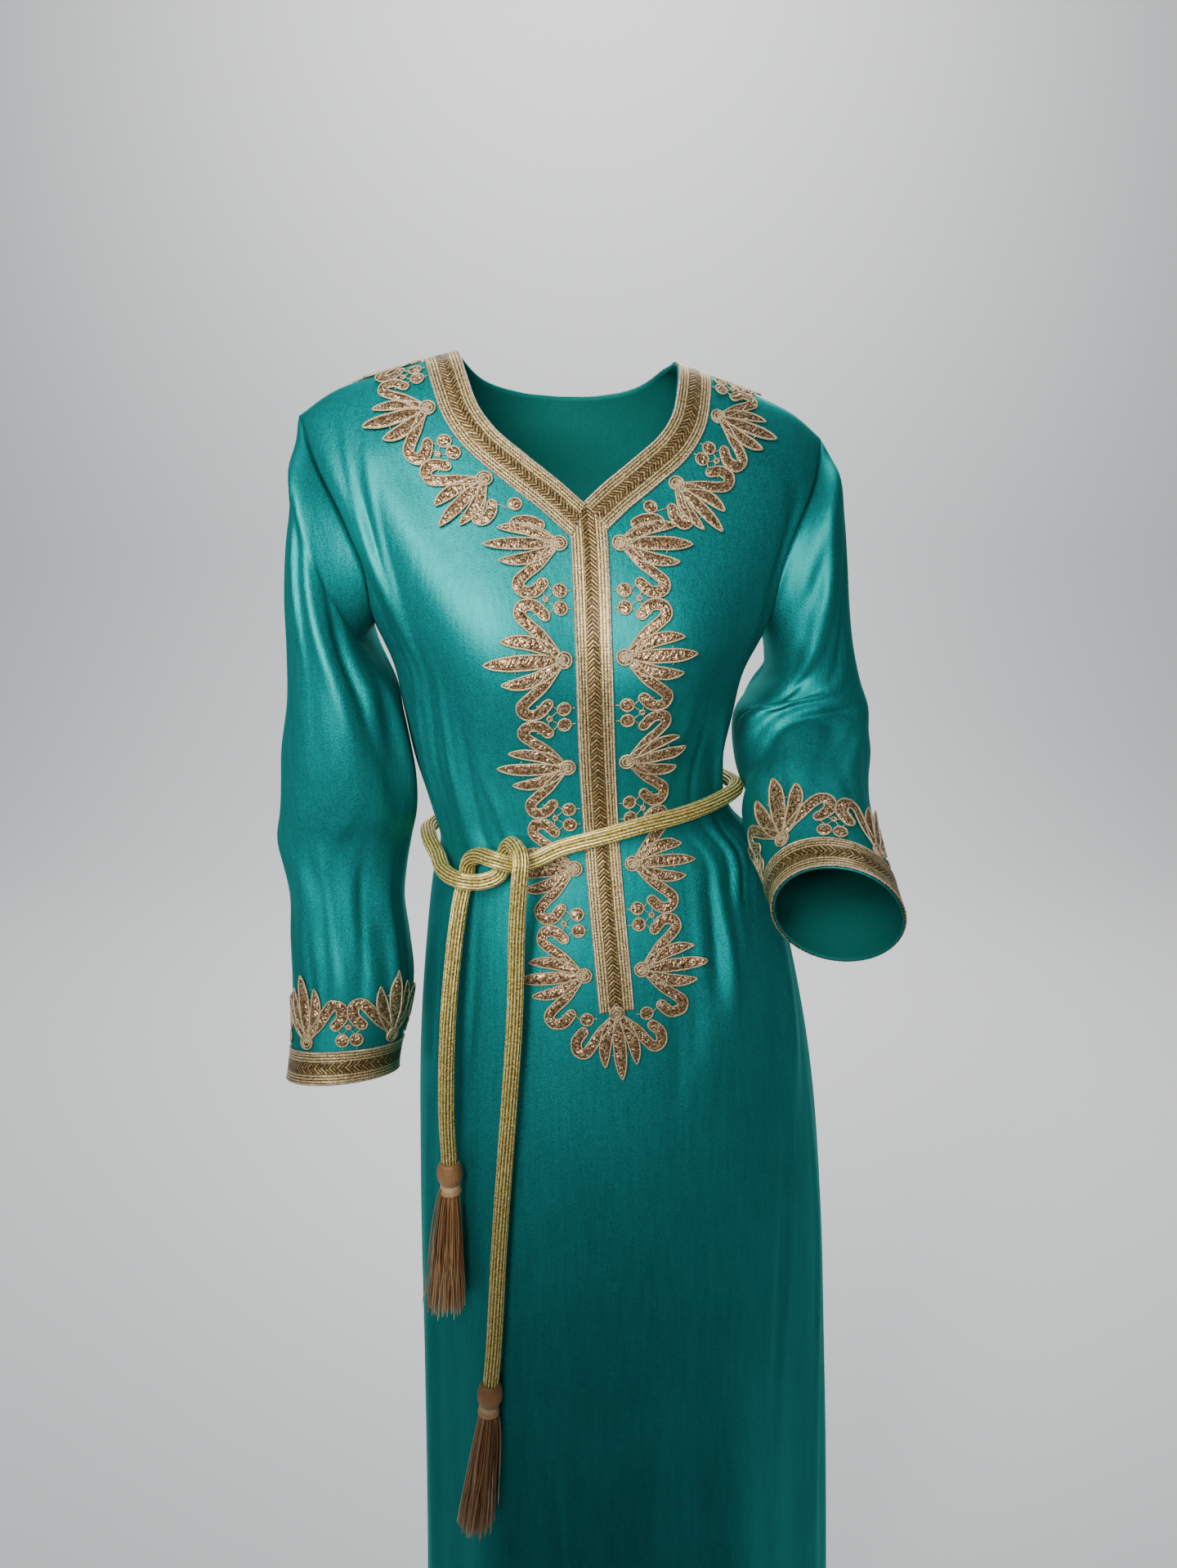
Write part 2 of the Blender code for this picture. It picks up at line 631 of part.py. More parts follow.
def neck_line():
    """The neck edge from the V up the left side, round the back and down the right side."""
    front_out = smooth(NECK_FRONT, "out", NECK_STEPS)
    front_height = smooth(NECK_FRONT, "height", NECK_STEPS)
    back_out = smooth(NECK_BACK, "out", NECK_STEPS)
    back_height = smooth(NECK_BACK, "height", NECK_STEPS)
    left = body_at(-front_out, front_height, True)
    back_left = body_at(-back_out[::-1], back_height[::-1], False)
    back_right = body_at(back_out, back_height, False)
    right = body_at(front_out[::-1], front_height[::-1], True)
    return np.concatenate([left, back_left[1:], back_right[1:], right[1:]])


def placket_line():
    """The placket's middle, down the front: its x undone by the body's centre and turn."""
    turn = np.radians(smooth(BODY, "turn", PLACKET_STEPS))
    aside = smooth(PLACKET, "x", PLACKET_STEPS) - smooth(BODY, "centre_x", PLACKET_STEPS)
    out = (aside - smooth(BODY, "front", PLACKET_STEPS) * np.sin(turn)) / np.cos(turn)
    return body_at(out, PLACKET_STEPS, True)


def braid_grid(spine, starts, ends, across):
    """A braid's points and faces: its lines lie across the spine, each from its start to its end."""
    cells = int(round((ends.mean() - starts.mean()) / BRAID_CELL))
    share = np.linspace(0, 1, cells + 1)[:, None]
    along = (1 - share) * starts + share * ends
    points = spine.at(along, across[None, :] + 0 * along)
    return points.reshape(-1, 3), grid_faces(cells + 1, len(across), False)


def build_neck_braid(spine, cloth, gold):
    across = np.linspace(0, BRAID_WIDTH, 3)
    mitre = across * MITRE_RUN
    points, faces = braid_grid(spine, MITRE_GAP - mitre, spine.length - MITRE_GAP + mitre, across)
    lay_trim("neck_braid", points, faces, cloth, BRAID_THICK, gold)


def build_placket_braid(spine, cloth, gold):
    across = np.linspace(-BRAID_WIDTH / 2, BRAID_WIDTH / 2, 5)
    starts = PLACKET_TOP - np.abs(across) * PLACKET_POINT
    points, faces = braid_grid(spine, starts, PLACKET_LENGTH + 0 * starts, across)
    lay_trim("placket_braid", points, faces, cloth, BRAID_THICK, gold)


def build_cuff_braid(name, cloth, grid, gold):
    """A braid round the end of a sleeve, from the cuff's edge up."""
    up = unit(grid[-3] - grid[-1])
    rows = [grid[-1] + up * out for out in (BRAID_WIDTH, BRAID_WIDTH / 2, CUFF_EDGE)]
    points = np.array(rows).reshape(-1, 3)
    lay_trim(name, points, grid_faces(3, RING, True), cloth, BRAID_THICK, gold)


# Lace. A repeat is drawn flat, in shares of its length: along the braid, and out from it

HUB = (0.0, 0.10)
HUB_RADIUS = 0.08
HUB_SIDES = 7
HUB_TURN = 0.4
PETALS = table(
    "degrees reach half_width",
    [(-19, 0.55, 0.046), (0, 0.66, 0.050), (19, 0.55, 0.046)],
)
SCROLL = table(
    "along out half_width",
    [
        (0.045, 0.150, 0.034),
        (0.190, 0.278, 0.044),
        (0.290, 0.400, 0.045),
        (0.362, 0.463, 0.047),
        (0.437, 0.430, 0.048),
        (0.438, 0.330, 0.048),
        (0.360, 0.250, 0.046),
    ],
)
DISC_ALONG = 0.4235
DISC_OUT = 0.105
DISC_RADIUS = 0.064
DISC_SIDES = 6
DISC_TURN = 0.5
PETAL_OUTLINE = [(0.02, 0.4), (0.62, 1.0), (1.0, 0.0), (0.62, -1.0), (0.02, -0.4)]  # shares
BAR = 0.024  # half the width of a bar between two shapes
DISC_BAR_FOOT = (0.400, 0.13)
DISC_BAR_HEAD = (0.372, 0.245)
NEXT_BARS = [((0.46, 0.39), (0.54, 0.39)), ((0.44, DISC_OUT), (0.56, DISC_OUT))]
FLAT_WELD = 0.008
# How a repeat ends on one side: how far its scroll is pressed towards the hub, whether it has
# a disc, and whether it is linked to the next repeat
ENDINGS = {
    "linked": (1.0, True, True),
    "free": (1.0, True, False),
    "plain": (1.0, False, False),
    "pressed": (0.7, True, False),
    "corner": (0.5, False, False),
}
LACE_START = 0.001  # from the braid's edge
PLACKET_SIDES = [("corner", "linked")] + [("linked", "linked")] * 3 + [("linked", "free")]
PLACKET_FIRST_HUB = 0.035  # from the top of the placket's line
PLACKET_LACE_PITCH = 0.0908
END_SIDES = [("plain", "plain")]
END_LACE_PITCH = 0.082
END_HALF = 0.05  # half the line under the placket's end that the end's lace starts from
NECK_SIDES = [("pressed", "linked"), ("linked", "linked"), ("linked", "free")]
NECK_FIRST_HUB = 0.069  # along the lace's line from the V
NECK_LACE_PITCH = 0.076
NECK_LACE_DEPTH = 0.082
CUFF_SIDES = [("free", "linked"), ("linked", "linked"), ("linked", "linked"), ("linked", "free")]
CUFF_CLOSE = 0.985  # the strip's two ends stay a little apart
CUFF_HUBS = {"left": 61, "right": 53}  # degrees round the cuff to one hub
CUFF_SPARE = 4  # points of the cuff's line past one whole turn


def polygon(centre, radius, sides, turn):
    angle = 2 * np.pi * np.arange(sides) / sides + turn
    return np.array(centre) + radius * np.stack([np.cos(angle), np.sin(angle)], axis=1)


def petal(degrees, reach, half_width):
    """A pointed petal from the hub: its two shoulders and its tip."""
    angle = np.radians(degrees)
    ahead = np.array([np.sin(angle), np.cos(angle)])
    aside = np.array([ahead[1], -ahead[0]])
    return np.array([HUB + ahead * reach * a + aside * half_width * w for a, w in PETAL_OUTLINE])


def scroll(side, squeeze=1.0):
    """A stem that curls back over itself, as an outline with a round end."""
    line = np.stack([SCROLL["along"] * side * squeeze, SCROLL["out"]], axis=1)
    ahead = unit(np.gradient(line, axis=0))
    aside = np.stack([ahead[:, 1], -ahead[:, 0]], axis=1) * SCROLL["half_width"][:, None]
    tip = line[-1] + ahead[-1] * SCROLL["half_width"][-1]
    return np.concatenate([line + aside, [tip], (line - aside)[::-1]])


def bar(start, end):
    """A short bar between two shapes."""
    start = np.array(start)
    end = np.array(end)
    ahead = unit(end - start)
    aside = np.array([-ahead[1], ahead[0]]) * BAR
    return np.array([start + aside, start - aside, end - aside, end + aside])


def lace_repeat(before, after):
    """The flat outlines of one repeat: its hub, its petals, and a scroll and disc each side."""
    shapes = [polygon(HUB, HUB_RADIUS, HUB_SIDES, HUB_TURN)]
    for row in zip(*PETALS.values()):
        shapes.append(petal(*row))
    for side, ending in ((-1, before), (1, after)):
        squeeze, has_disc, _ = ENDINGS[ending]
        shapes.append(scroll(side, squeeze))
        if has_disc:
            shapes.append(polygon((DISC_ALONG * side, DISC_OUT), DISC_RADIUS, DISC_SIDES, DISC_TURN))
            foot = np.multiply(DISC_BAR_FOOT, (side, 1))
            head = np.multiply(DISC_BAR_HEAD, (squeeze * side, 1))
            shapes.append(bar(foot, head))
    if ENDINGS[after][2]:
        for start, end in NEXT_BARS:
            shapes.append(bar(start, end))
    return shapes


def holds(outline, points):
    """Which points lie inside a flat outline."""
    x, y = points[:, 0][:, None], points[:, 1][:, None]
    ax, ay = outline[:, 0], outline[:, 1]
    bx, by = np.roll(ax, -1), np.roll(ay, -1)
    crosses = (ay > y) != (by > y)
    with np.errstate(divide="ignore", invalid="ignore"):
        hit = (bx - ax) * (y - ay) / (by - ay) + ax
    return (crosses & (x < hit)).sum(axis=1) % 2 == 1


def triangles_in(points, edges, outlines):
    """Triangles between the given edges whose middles lie in any of the outlines."""
    made = geometry.delaunay_2d_cdt([Vector(p) for p in points], edges, [], 0, FLAT_WELD, False)
    points = np.array([tuple(p) for p in made[0]])
    faces = np.array(made[2])
    middle = points[faces].mean(axis=1)
    inside = np.zeros(len(faces), bool)
    for outline in outlines:
        inside |= holds(outline, middle)
    return points, faces[inside]


def united(outlines):
    """One flat mesh of all the outlines together, with points only on its edges."""
    points = np.concatenate(outlines)
    edges = []
    start = 0
    for outline in outlines:
        count = len(outline)
        edges += [(start + k, start + (k + 1) % count) for k in range(count)]
        start += count
    points, faces = triangles_in(points, edges, outlines)
    rim = rim_of(faces)
    used, number = np.unique(rim, return_inverse=True)
    edges = number.reshape(-1, 2).tolist()
    points, faces = triangles_in(points[used], edges, outlines)
    used, number = np.unique(faces, return_inverse=True)
    return points[used], number.reshape(-1, 3)


def build_lace(name, spine, first, size, sides, cloth, gold, start_out=0.0, flip=1):
    """A strip of lace: a repeat for each pair of sides, its first hub at a place on the spine."""
    pitch, depth = size
    outlines = []
    for number, (before, after) in enumerate(sides):
        for shape in lace_repeat(before, after):
            outlines.append(shape + [number, 0])
    flat, faces = united(outlines)
    points = spine.at(first + flat[:, 0] * pitch, start_out + flat[:, 1] * depth * flip)
    lay_trim(name, points, faces, cloth, LACE_THICK, gold)


def neck_lace_line(neck, side):
    """The line the neck's lace starts from: the braid's outer edge, from the V to the nape."""
    along = NECK_STEPS / 2 * neck.length
    if side == "right":
        along = neck.length - along
    return neck.at(along, BRAID_WIDTH + LACE_START)


def cuff_lace_line(sleeve, first_angle):
    """Once round a sleeve above its braid, from the side away from the first hub."""
    up = unit(sleeve[-4] - sleeve[-1])
    ring = sleeve[-1] + up * (BRAID_WIDTH + LACE_START)
    step = 360 / RING
    middle = first_angle + 180 / len(CUFF_SIDES)
    last = RING + CUFF_SPARE - 1
    place = middle / step + np.arange(last + 1) - last / 2
    low = np.floor(place).astype(int)
    share = (place - low)[:, None]
    return ring[low % RING] * (1 - share) + ring[(low + 1) % RING] * share


# The belt

# The rope's route in millimetres: the short end from its tassel up into the knot, round the
# right side and the back of the waist, and through the knot again into the long end
ROPE_ROUTE = [
    (-106, -108, -692),
    (-107, -110, -635),
    (-104, -109, -560),
    (-98, -102, -495),
    (-92, -96, -452),
    (-87, -92, -433),
    (-84, -94, -418),
    (-74, -107, -409),
    (-60, -123, -408),
    (-45, -122, -412),
    (-28, -118, -410),
    (-5, -115, -400),
    (27, -115, -391),
    (60, -108, -383),
    (95, -91, -378),
    (124, -64, -374),
    (147, -29, -370),
    (149, 10, -370),
    (132, 57, -372),
    (90, 87, -378),
    (40, 98, -386),
    (-15, 91, -395),
    (-66, 80, -402),
    (-107, 50, -408),
    (-129, 6, -411),
    (-125, -35, -413),
    (-114, -65, -421),
    (-106, -88, -428),
    (-90, -109, -430),
    (-72, -109, -431),
    (-57, -108, -424),
    (-53, -109, -407),
    (-46, -120, -396),
    (-38, -135, -403),
    (-39, -139, -423),
    (-42, -134, -465),
    (-46, -130, -560),
    (-60, -132, -740),
    (-67, -133, -850),
    (-71, -134, -896),
]
ROPE_CUTS = 2  # points of the rope from one point of its route to the next
TASSEL_GAP = 0.0003  # between the rope's end and its tassel
TASSEL_HEAD = table(
    "down radius",
    [(0.0, 0.0), (0.0, 0.55), (0.08, 0.85), (0.3, 1.0), (0.62, 0.98), (0.8, 0.78), (1.0, 0.9), (1.0, 0.0)],
)
TASSEL_HEAD_LENGTH = 0.024
TASSEL_SIDES = 10
# The strands in rings: how many, where they start and end in shares of the head's and the
# skirt's radius, and how far the ring is turned in degrees
STRAND_RINGS = table("count root foot turn", [(16, 0.70, 1.0, 0), (8, 0.32, 0.5, 12)])
STRAND = table("down radius", [(0.0, 0.0012), (0.45, 0.0019), (1.0, 0.0012)])
STRAND_SIDES = 3
ROOT_DEPTH = 0.004  # how far the strands start inside the head
FLARE = 0.6  # below 1 the skirt opens out early
SHORT_FOOT = (-0.111, -0.116, -0.8296)  # middle of the short tassel's foot
LONG_FOOT = (-0.087, -0.140, -1.0450)


def line_through(route, cuts):
    """A smooth line through a route's points, read at so many places from each to the next."""
    ends = np.concatenate([[2 * route[0] - route[1]], route, [2 * route[-1] - route[-2]]])
    t = (np.arange(cuts) / cuts)[:, None]
    line = []
    for a, b, c, d in zip(ends, ends[1:], ends[2:], ends[3:]):
        bend = (2 * a - 5 * b + 4 * c - d) * t**2 + (3 * (b - c) + d - a) * t**3
        line.append(b + ((c - a) * t + bend) / 2)
    return np.concatenate(line + [route[-1:]])


def build_rope(points, gold):
    """The rope as a round tube on a line of points, closed at its ends."""
    curve = bpy.data.curves.new("belt_rope", "CURVE")
    curve.dimensions = "3D"
    curve.bevel_depth = ROPE_RADIUS
    curve.bevel_resolution = 2
    curve.use_fill_caps = True
    spline = curve.splines.new("POLY")
    spline.points.add(len(points) - 1)
    for place, point in zip(spline.points, points):
        place.co = (*point, 1)
    curve.materials.append(gold)
    DRESS.objects.link(bpy.data.objects.new("belt_rope", curve))


def strand_rings(root, foot):
    """Each strand's rings of points, from its root inside the head to its end."""
    strands = []
    corner = 2 * np.pi * np.arange(STRAND_SIDES) / STRAND_SIDES
    for count, start, end, turn in zip(*STRAND_RINGS.values()):
        for k in range(int(count)):
            angle = 2 * np.pi * k / count + np.radians(turn)
            rings = []
            for down, radius in zip(*STRAND.values()):
                share = down**FLARE
                spread = (1 - share) * start * TASSEL_HEAD_RADIUS + share * end * TASSEL_SKIRT_RADIUS
                middle = root + (foot - root) * down + spread * np.array([np.cos(angle), np.sin(angle), 0])
                around = np.stack([np.cos(angle + corner), np.sin(angle + corner), 0 * corner], axis=1)
                rings.append(middle + radius * around)
            strands.append(np.concatenate(rings))
    return strands


def build_strands(name, root, foot, thread):
    """All of a tassel's strands in one object, which its head is joined with."""
    strands = strand_rings(root, foot)
    levels = len(STRAND["down"])
    last = STRAND_SIDES * (levels - 1)
    one = grid_faces(levels, STRAND_SIDES, True).tolist()
    one += [tuple(range(STRAND_SIDES)), tuple(last + k for k in reversed(range(STRAND_SIDES)))]
    faces = []
    for number in range(len(strands)):
        faces += [[k + number * len(strands[0]) for k in face] for face in one]
    piece = add_mesh(name, np.concatenate(strands), faces, thread)
    DRESS.objects.unlink(piece)
    JOINED.objects.link(piece)
    piece.hide_render = True
    piece.display_type = "WIRE"
    return piece


def build_tassel(name, top, ahead, foot, thread):
    """A tassel: a turned head on the rope's end, and strands that hang out of it."""
    mesh = bpy.data.meshes.new(name)
    profile = [
        (radius * TASSEL_HEAD_RADIUS, 0, -down * TASSEL_HEAD_LENGTH)
        for down, radius in zip(*TASSEL_HEAD.values())
    ]
    mesh.from_pydata(profile, [(k, k + 1) for k in range(len(profile) - 1)], [])
    mesh.materials.append(thread)
    head = bpy.data.objects.new(name, mesh)
    DRESS.objects.link(head)
    head.location = top + ahead * TASSEL_GAP
    head.rotation_euler = Vector(-ahead).to_track_quat("Z", "Y").to_euler()
    turned = head.modifiers.new("turned", "SCREW")
    turned.steps = TASSEL_SIDES
    turned.render_steps = TASSEL_SIDES
    turned.use_merge_vertices = True
    turned.merge_threshold = 0.0001
    root = top + ahead * (TASSEL_HEAD_LENGTH - ROOT_DEPTH)
    joined = head.modifiers.new("strands", "BOOLEAN")
    joined.operation = "UNION"
    joined.object = build_strands(name + "_strands", root, np.array(foot), thread)


# The dress

def clear_scene():
    for item in list(bpy.data.objects):
        bpy.data.objects.remove(item, do_unlink=True)


def new_collection(name):
    collection = bpy.data.collections.new(name)
    bpy.context.scene.collection.children.link(collection)
    return collection


def build_front_trims(cloth, braid, lace):
    """The braids round the neck and down the front, and the lace beside them."""
    neck = Spine(neck_line(), cloth)
    build_neck_braid(neck, cloth, braid)
    placket = Spine(placket_line(), cloth)
    build_placket_braid(placket, cloth, braid)
    end_line = placket.at(PLACKET_LENGTH + LACE_START, np.linspace(-END_HALF, END_HALF, 9))
    end = Spine(end_line, cloth, -1)
    size = (END_LACE_PITCH, LACE_DEPTH)
    build_lace("placket_lace_end", end, end.length / 2, size, END_SIDES, cloth, lace)
    for side, flip in (("left", -1), ("right", 1)):
        start = flip * (BRAID_WIDTH / 2 + LACE_START)
        size = (PLACKET_LACE_PITCH, LACE_DEPTH)
        name = "placket_lace_" + side
        build_lace(name, placket, PLACKET_FIRST_HUB, size, PLACKET_SIDES, cloth, lace, start, flip)
        line = Spine(neck_lace_line(neck, side), cloth, -flip)
        size = (NECK_LACE_PITCH, NECK_LACE_DEPTH)
        build_lace("neck_lace_" + side, line, NECK_FIRST_HUB, size, NECK_SIDES, cloth, lace)


def build_cuff_trims(side, sleeve, cloth, braid, lace):
    """The braid and the lace round the end of one sleeve."""
    build_cuff_braid("cuff_braid_" + side, cloth, sleeve, braid)
    line = Spine(cuff_lace_line(sleeve, CUFF_HUBS[side]), cloth, 1 if side == "left" else -1)
    pitch = line.length / (RING + CUFF_SPARE - 1) * RING / len(CUFF_SIDES)
    first = line.length / 2 - (len(CUFF_SIDES) - 1) / 2 * pitch
    size = (pitch * CUFF_CLOSE, LACE_DEPTH)
    build_lace("cuff_lace_" + side, line, first, size, CUFF_SIDES, cloth, lace)


def build_belt(gold, thread):
    """The rope belt with a tassel on each end."""
    rope = line_through(np.array(ROPE_ROUTE) / 1000, ROPE_CUTS)
    build_rope(rope, gold)
    build_tassel("tassel_short", rope[0], unit(rope[0] - rope[1]), SHORT_FOOT, thread)
    build_tassel("tassel_long", rope[-1], unit(rope[-1] - rope[-2]), LONG_FOOT, thread)


def build_dress():
    satin = finish("green satin", (0.0, 0.17, 0.13), 0.35, 0.0)
    braid = finish("gold braid", (0.42, 0.28, 0.10), 0.4, 0.7)
    lace = finish("gold lace", (0.45, 0.27, 0.16), 0.4, 0.6)
    rope = finish("gold rope", (0.50, 0.33, 0.09), 0.4, 0.7)
    thread = finish("copper thread", (0.30, 0.14, 0.05), 0.5, 0.3)
    panels = cloth_panels()
    walls = cloth_walls(panels)
    build_cloth(walls, satin)
    build_front_trims(Cloth(walls, ["body_front", "body_back"]), braid, lace)
    for side in ("left", "right"):
        name = "sleeve_" + side
        build_cuff_trims(side, panels[name][0], Cloth(walls, [name]), braid, lace)
    build_belt(rope, thread)


clear_scene()
DRESS = new_collection("jalabiya")
JOINED = new_collection("joined pieces")
build_dress()
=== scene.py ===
# %% [markdown]
# # A satin jalabiya with gold trims and a rope belt
#
# The dress is sewn from four pieces of satin: a front, a back and two sleeves. Braid edges
# the neck, the front and the cuffs, lace is sewn beside the braid, and a knitted rope with a
# tassel at each end is knotted round the waist. Every piece here is a surface worked out
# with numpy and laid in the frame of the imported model, in metres. The front faces -Y, and
# left means -X.

# %% The frame and the tools
import math

import bpy
import numpy as np
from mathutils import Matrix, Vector
from mathutils.bvhtree import BVHTree


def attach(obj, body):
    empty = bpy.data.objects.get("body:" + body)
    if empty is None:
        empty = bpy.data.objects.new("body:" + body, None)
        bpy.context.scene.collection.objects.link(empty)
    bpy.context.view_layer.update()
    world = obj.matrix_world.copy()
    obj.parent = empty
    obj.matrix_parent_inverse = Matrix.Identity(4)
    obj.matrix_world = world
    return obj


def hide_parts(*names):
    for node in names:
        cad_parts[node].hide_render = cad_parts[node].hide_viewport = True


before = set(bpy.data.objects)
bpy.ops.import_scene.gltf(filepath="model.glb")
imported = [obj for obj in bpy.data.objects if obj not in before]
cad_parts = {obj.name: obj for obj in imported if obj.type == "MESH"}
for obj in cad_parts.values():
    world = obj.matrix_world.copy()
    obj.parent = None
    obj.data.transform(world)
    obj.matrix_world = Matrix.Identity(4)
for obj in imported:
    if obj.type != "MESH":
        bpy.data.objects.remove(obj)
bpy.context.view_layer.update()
print("packed nodes:", len(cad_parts))

# %% [markdown]
# ## The camera
#
# The picture is 1440 pixels wide and 1919 high, taken with a phone held at chest height and
# tipped down. A lens is given in millimetres on a 36 mm sensor along the picture's long side,
# so its focal length in pixels turns into millimetres by one ratio.

# %% Camera
PICTURE = (1440, 1919)
FOCAL_PIXELS = 1450
SENSOR = 36
TILT_DOWN = 12.3  # degrees
CAMERA_PLACE = (0.017, -1.06, -0.14)


def new_object(name, data):
    """An object in the scene that holds this data."""
    made = bpy.data.objects.new(name, data)
    bpy.context.scene.collection.objects.link(made)
    return made


camera = new_object("camera", bpy.data.cameras.new("camera"))
camera.data.sensor_width = SENSOR
camera.data.lens = FOCAL_PIXELS * SENSOR / max(PICTURE)
camera.location = CAMERA_PLACE
camera.rotation_euler = (math.radians(90 - TILT_DOWN), 0, 0)
bpy.context.scene.camera = camera
print(f"lens {camera.data.lens:.1f} mm")

# %% [markdown]
# ## Grids, and meshes made from them
#
# Each surface is a grid of points: rows along it, columns across it. Neighbouring points are
# joined by quads, and a side that closes on itself is wrapped. A UV map keeps the distances
# along and across at each corner of a quad, so that stitches can follow the piece.

# %% Grids
def unit(vectors):
    """Each vector divided by its length."""
    return vectors / np.maximum(np.linalg.norm(vectors, axis=-1, keepdims=True), 1e-12)


def grid_faces(rows, columns, wrap_rows=False, wrap_columns=False):
    """Quads between neighbouring points of a grid, as point numbers."""
    number = np.arange(rows * columns).reshape(rows, columns)
    if wrap_rows:
        number = np.concatenate([number, number[:1]])
    if wrap_columns:
        number = np.concatenate([number, number[:, :1]], axis=1)
    corners = [number[:-1, :-1], number[1:, :-1], number[1:, 1:], number[:-1, 1:]]
    return np.stack([c.ravel() for c in corners], axis=1)


def end_caps(rows, columns):
    """The first and the last ring of a closed grid, as the two faces that shut its ends."""
    ring = np.arange(columns)
    return [ring, columns * (rows - 1) + ring[::-1]]


def corner_values(across, along):
    """A UV for each corner of each quad, from one value a column and one a row."""
    v, u = np.meshgrid(along, across, indexing="ij")
    both = np.stack([u, v], axis=-1)
    corners = [both[:-1, :-1], both[1:, :-1], both[1:, 1:], both[:-1, 1:]]
    return np.stack([c.reshape(-1, 2) for c in corners], axis=1)


def quad_normals(points, quads):
    """Each quad's normal, as long as twice its area: the cross product of its diagonals."""
    a, b, c, d = (points[quads[:, k]] for k in range(4))
    return np.cross(c - a, d - b)


def point_normals(points, quads):
    """The normals of the quads round each point, added up."""
    normals = np.zeros_like(points)
    for k in range(4):
        np.add.at(normals, quads[:, k], quad_normals(points, quads))
    return unit(normals)


# %% Patches
class Patch:
    """Points, quads, end caps and UVs of one surface, with the finish and shading of its faces."""

    def __init__(self, points, quads, uv=None, caps=(), finish=0, smooth=True):
        self.points = np.asarray(points, float).reshape(-1, 3)
        self.quads = quads
        self.uv = np.zeros((len(quads), 4, 2)) if uv is None else uv
        self.caps = [np.asarray(cap) for cap in caps]
        self.finish = finish
        self.smooth = smooth

    def moved(self, points):
        """A patch with the same faces on other points."""
        return Patch(points, self.quads, self.uv, self.caps, self.finish, self.smooth)

    def turned(self):
        """The same patch with its faces turned round."""
        caps = [cap[::-1] for cap in self.caps]
        return Patch(self.points, self.quads[:, ::-1], self.uv[:, ::-1], caps, self.finish, self.smooth)

    def volume(self):
        """Its volume, negative if its faces point inwards: the sum of each quad's cone."""
        middle = self.points.mean(axis=0)
        corners = self.points[self.quads[:, 0]] - middle
        return (corners * quad_normals(self.points, self.quads)).sum() / 6

    def outward(self):
        """The same patch, turned round if its faces point inwards."""
        return self if self.volume() > 0 else self.turned()


def closed_patch(points, across, along, ring=False, finish=0, smooth=True):
    """A grid whose columns wrap round: a ring that meets itself, or a tube with an end cap at each end."""
    rows, columns = points.shape[:2]
    quads = grid_faces(rows, columns, wrap_rows=ring, wrap_columns=True)
    caps = [] if ring else end_caps(rows, columns)
    return Patch(points, quads, corner_values(across, along), caps, finish, smooth).outward()


def add_piece(name, node, patches, finishes):
    """One mesh object made of patches, which rides on the model's one body and replaces a node."""
    starts = np.cumsum([0] + [len(p.points) for p in patches])
    faces = []
    uvs = []
    finish_numbers = []
    smooths = []
    for start, patch in zip(starts, patches):
        faces += (patch.quads + start).tolist() + [(cap + start).tolist() for cap in patch.caps]
        uvs += [patch.uv.reshape(-1, 2)] + [np.zeros((len(cap), 2)) for cap in patch.caps]
        count = len(patch.quads) + len(patch.caps)
        finish_numbers += [patch.finish] * count
        smooths += [patch.smooth] * len(patch.quads) + [False] * len(patch.caps)
    mesh = bpy.data.meshes.new(name)
    mesh.from_pydata(np.concatenate([p.points for p in patches]).tolist(), [], faces)
    mesh.uv_layers.new(name="UVMap").data.foreach_set("uv", np.concatenate(uvs).ravel())
    mesh.polygons.foreach_set("material_index", finish_numbers)
    mesh.polygons.foreach_set("use_smooth", smooths)
    for finish in finishes:
        mesh.materials.append(finish)
    mesh.update()
    piece = new_object(name, mesh)
    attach(piece, "root")
    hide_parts(node)
    print(f"{name}: {sum(len(face) - 2 for face in faces)} triangles")
    return piece


# %% [markdown]
# ## Lines and tubes
#
# A rope, a cord or a strand is a round profile carried along a line. The line is read from a
# smooth curve through a few points, and the profile's own directions are carried from point
# to point without twisting, which keeps the ribs of a knitted rope straight.

# %% Lines
def line_through(route, cuts):
    """A smooth curve through a route's points, read at so many places from each to the next."""
    route = np.asarray(route, float)
    ends = np.concatenate([[2 * route[0] - route[1]], route, [2 * route[-1] - route[-2]]])
    t = (np.arange(cuts) / cuts).reshape([-1] + [1] * (route.ndim - 1))
    line = []
    for a, b, c, d in zip(ends, ends[1:], ends[2:], ends[3:]):
        bend = (2 * a - 5 * b + 4 * c - d) * t**2 + (3 * (b - c) + d - a) * t**3
        line.append(b + ((c - a) * t + bend) / 2)
    return np.concatenate(line + [route[-1:]])


def distances(line):
    """How far along a line each of its points is."""
    steps = np.linalg.norm(np.diff(line, axis=0), axis=1)
    return np.concatenate([[0], np.cumsum(steps)])


def evenly(line, step):
    """The same line with its points about one step apart."""
    along = distances(line)
    count = max(int(round(along[-1] / step)), 2)
    places = np.linspace(0, along[-1], count + 1)
    return np.stack([np.interp(places, along, column) for column in line.T], axis=1)


def round_about(turn, side, other):
    """Directions round an axis: one side times the cosine of the turn, another times its sine."""
    return np.cos(turn)[..., None] * side + np.sin(turn)[..., None] * other


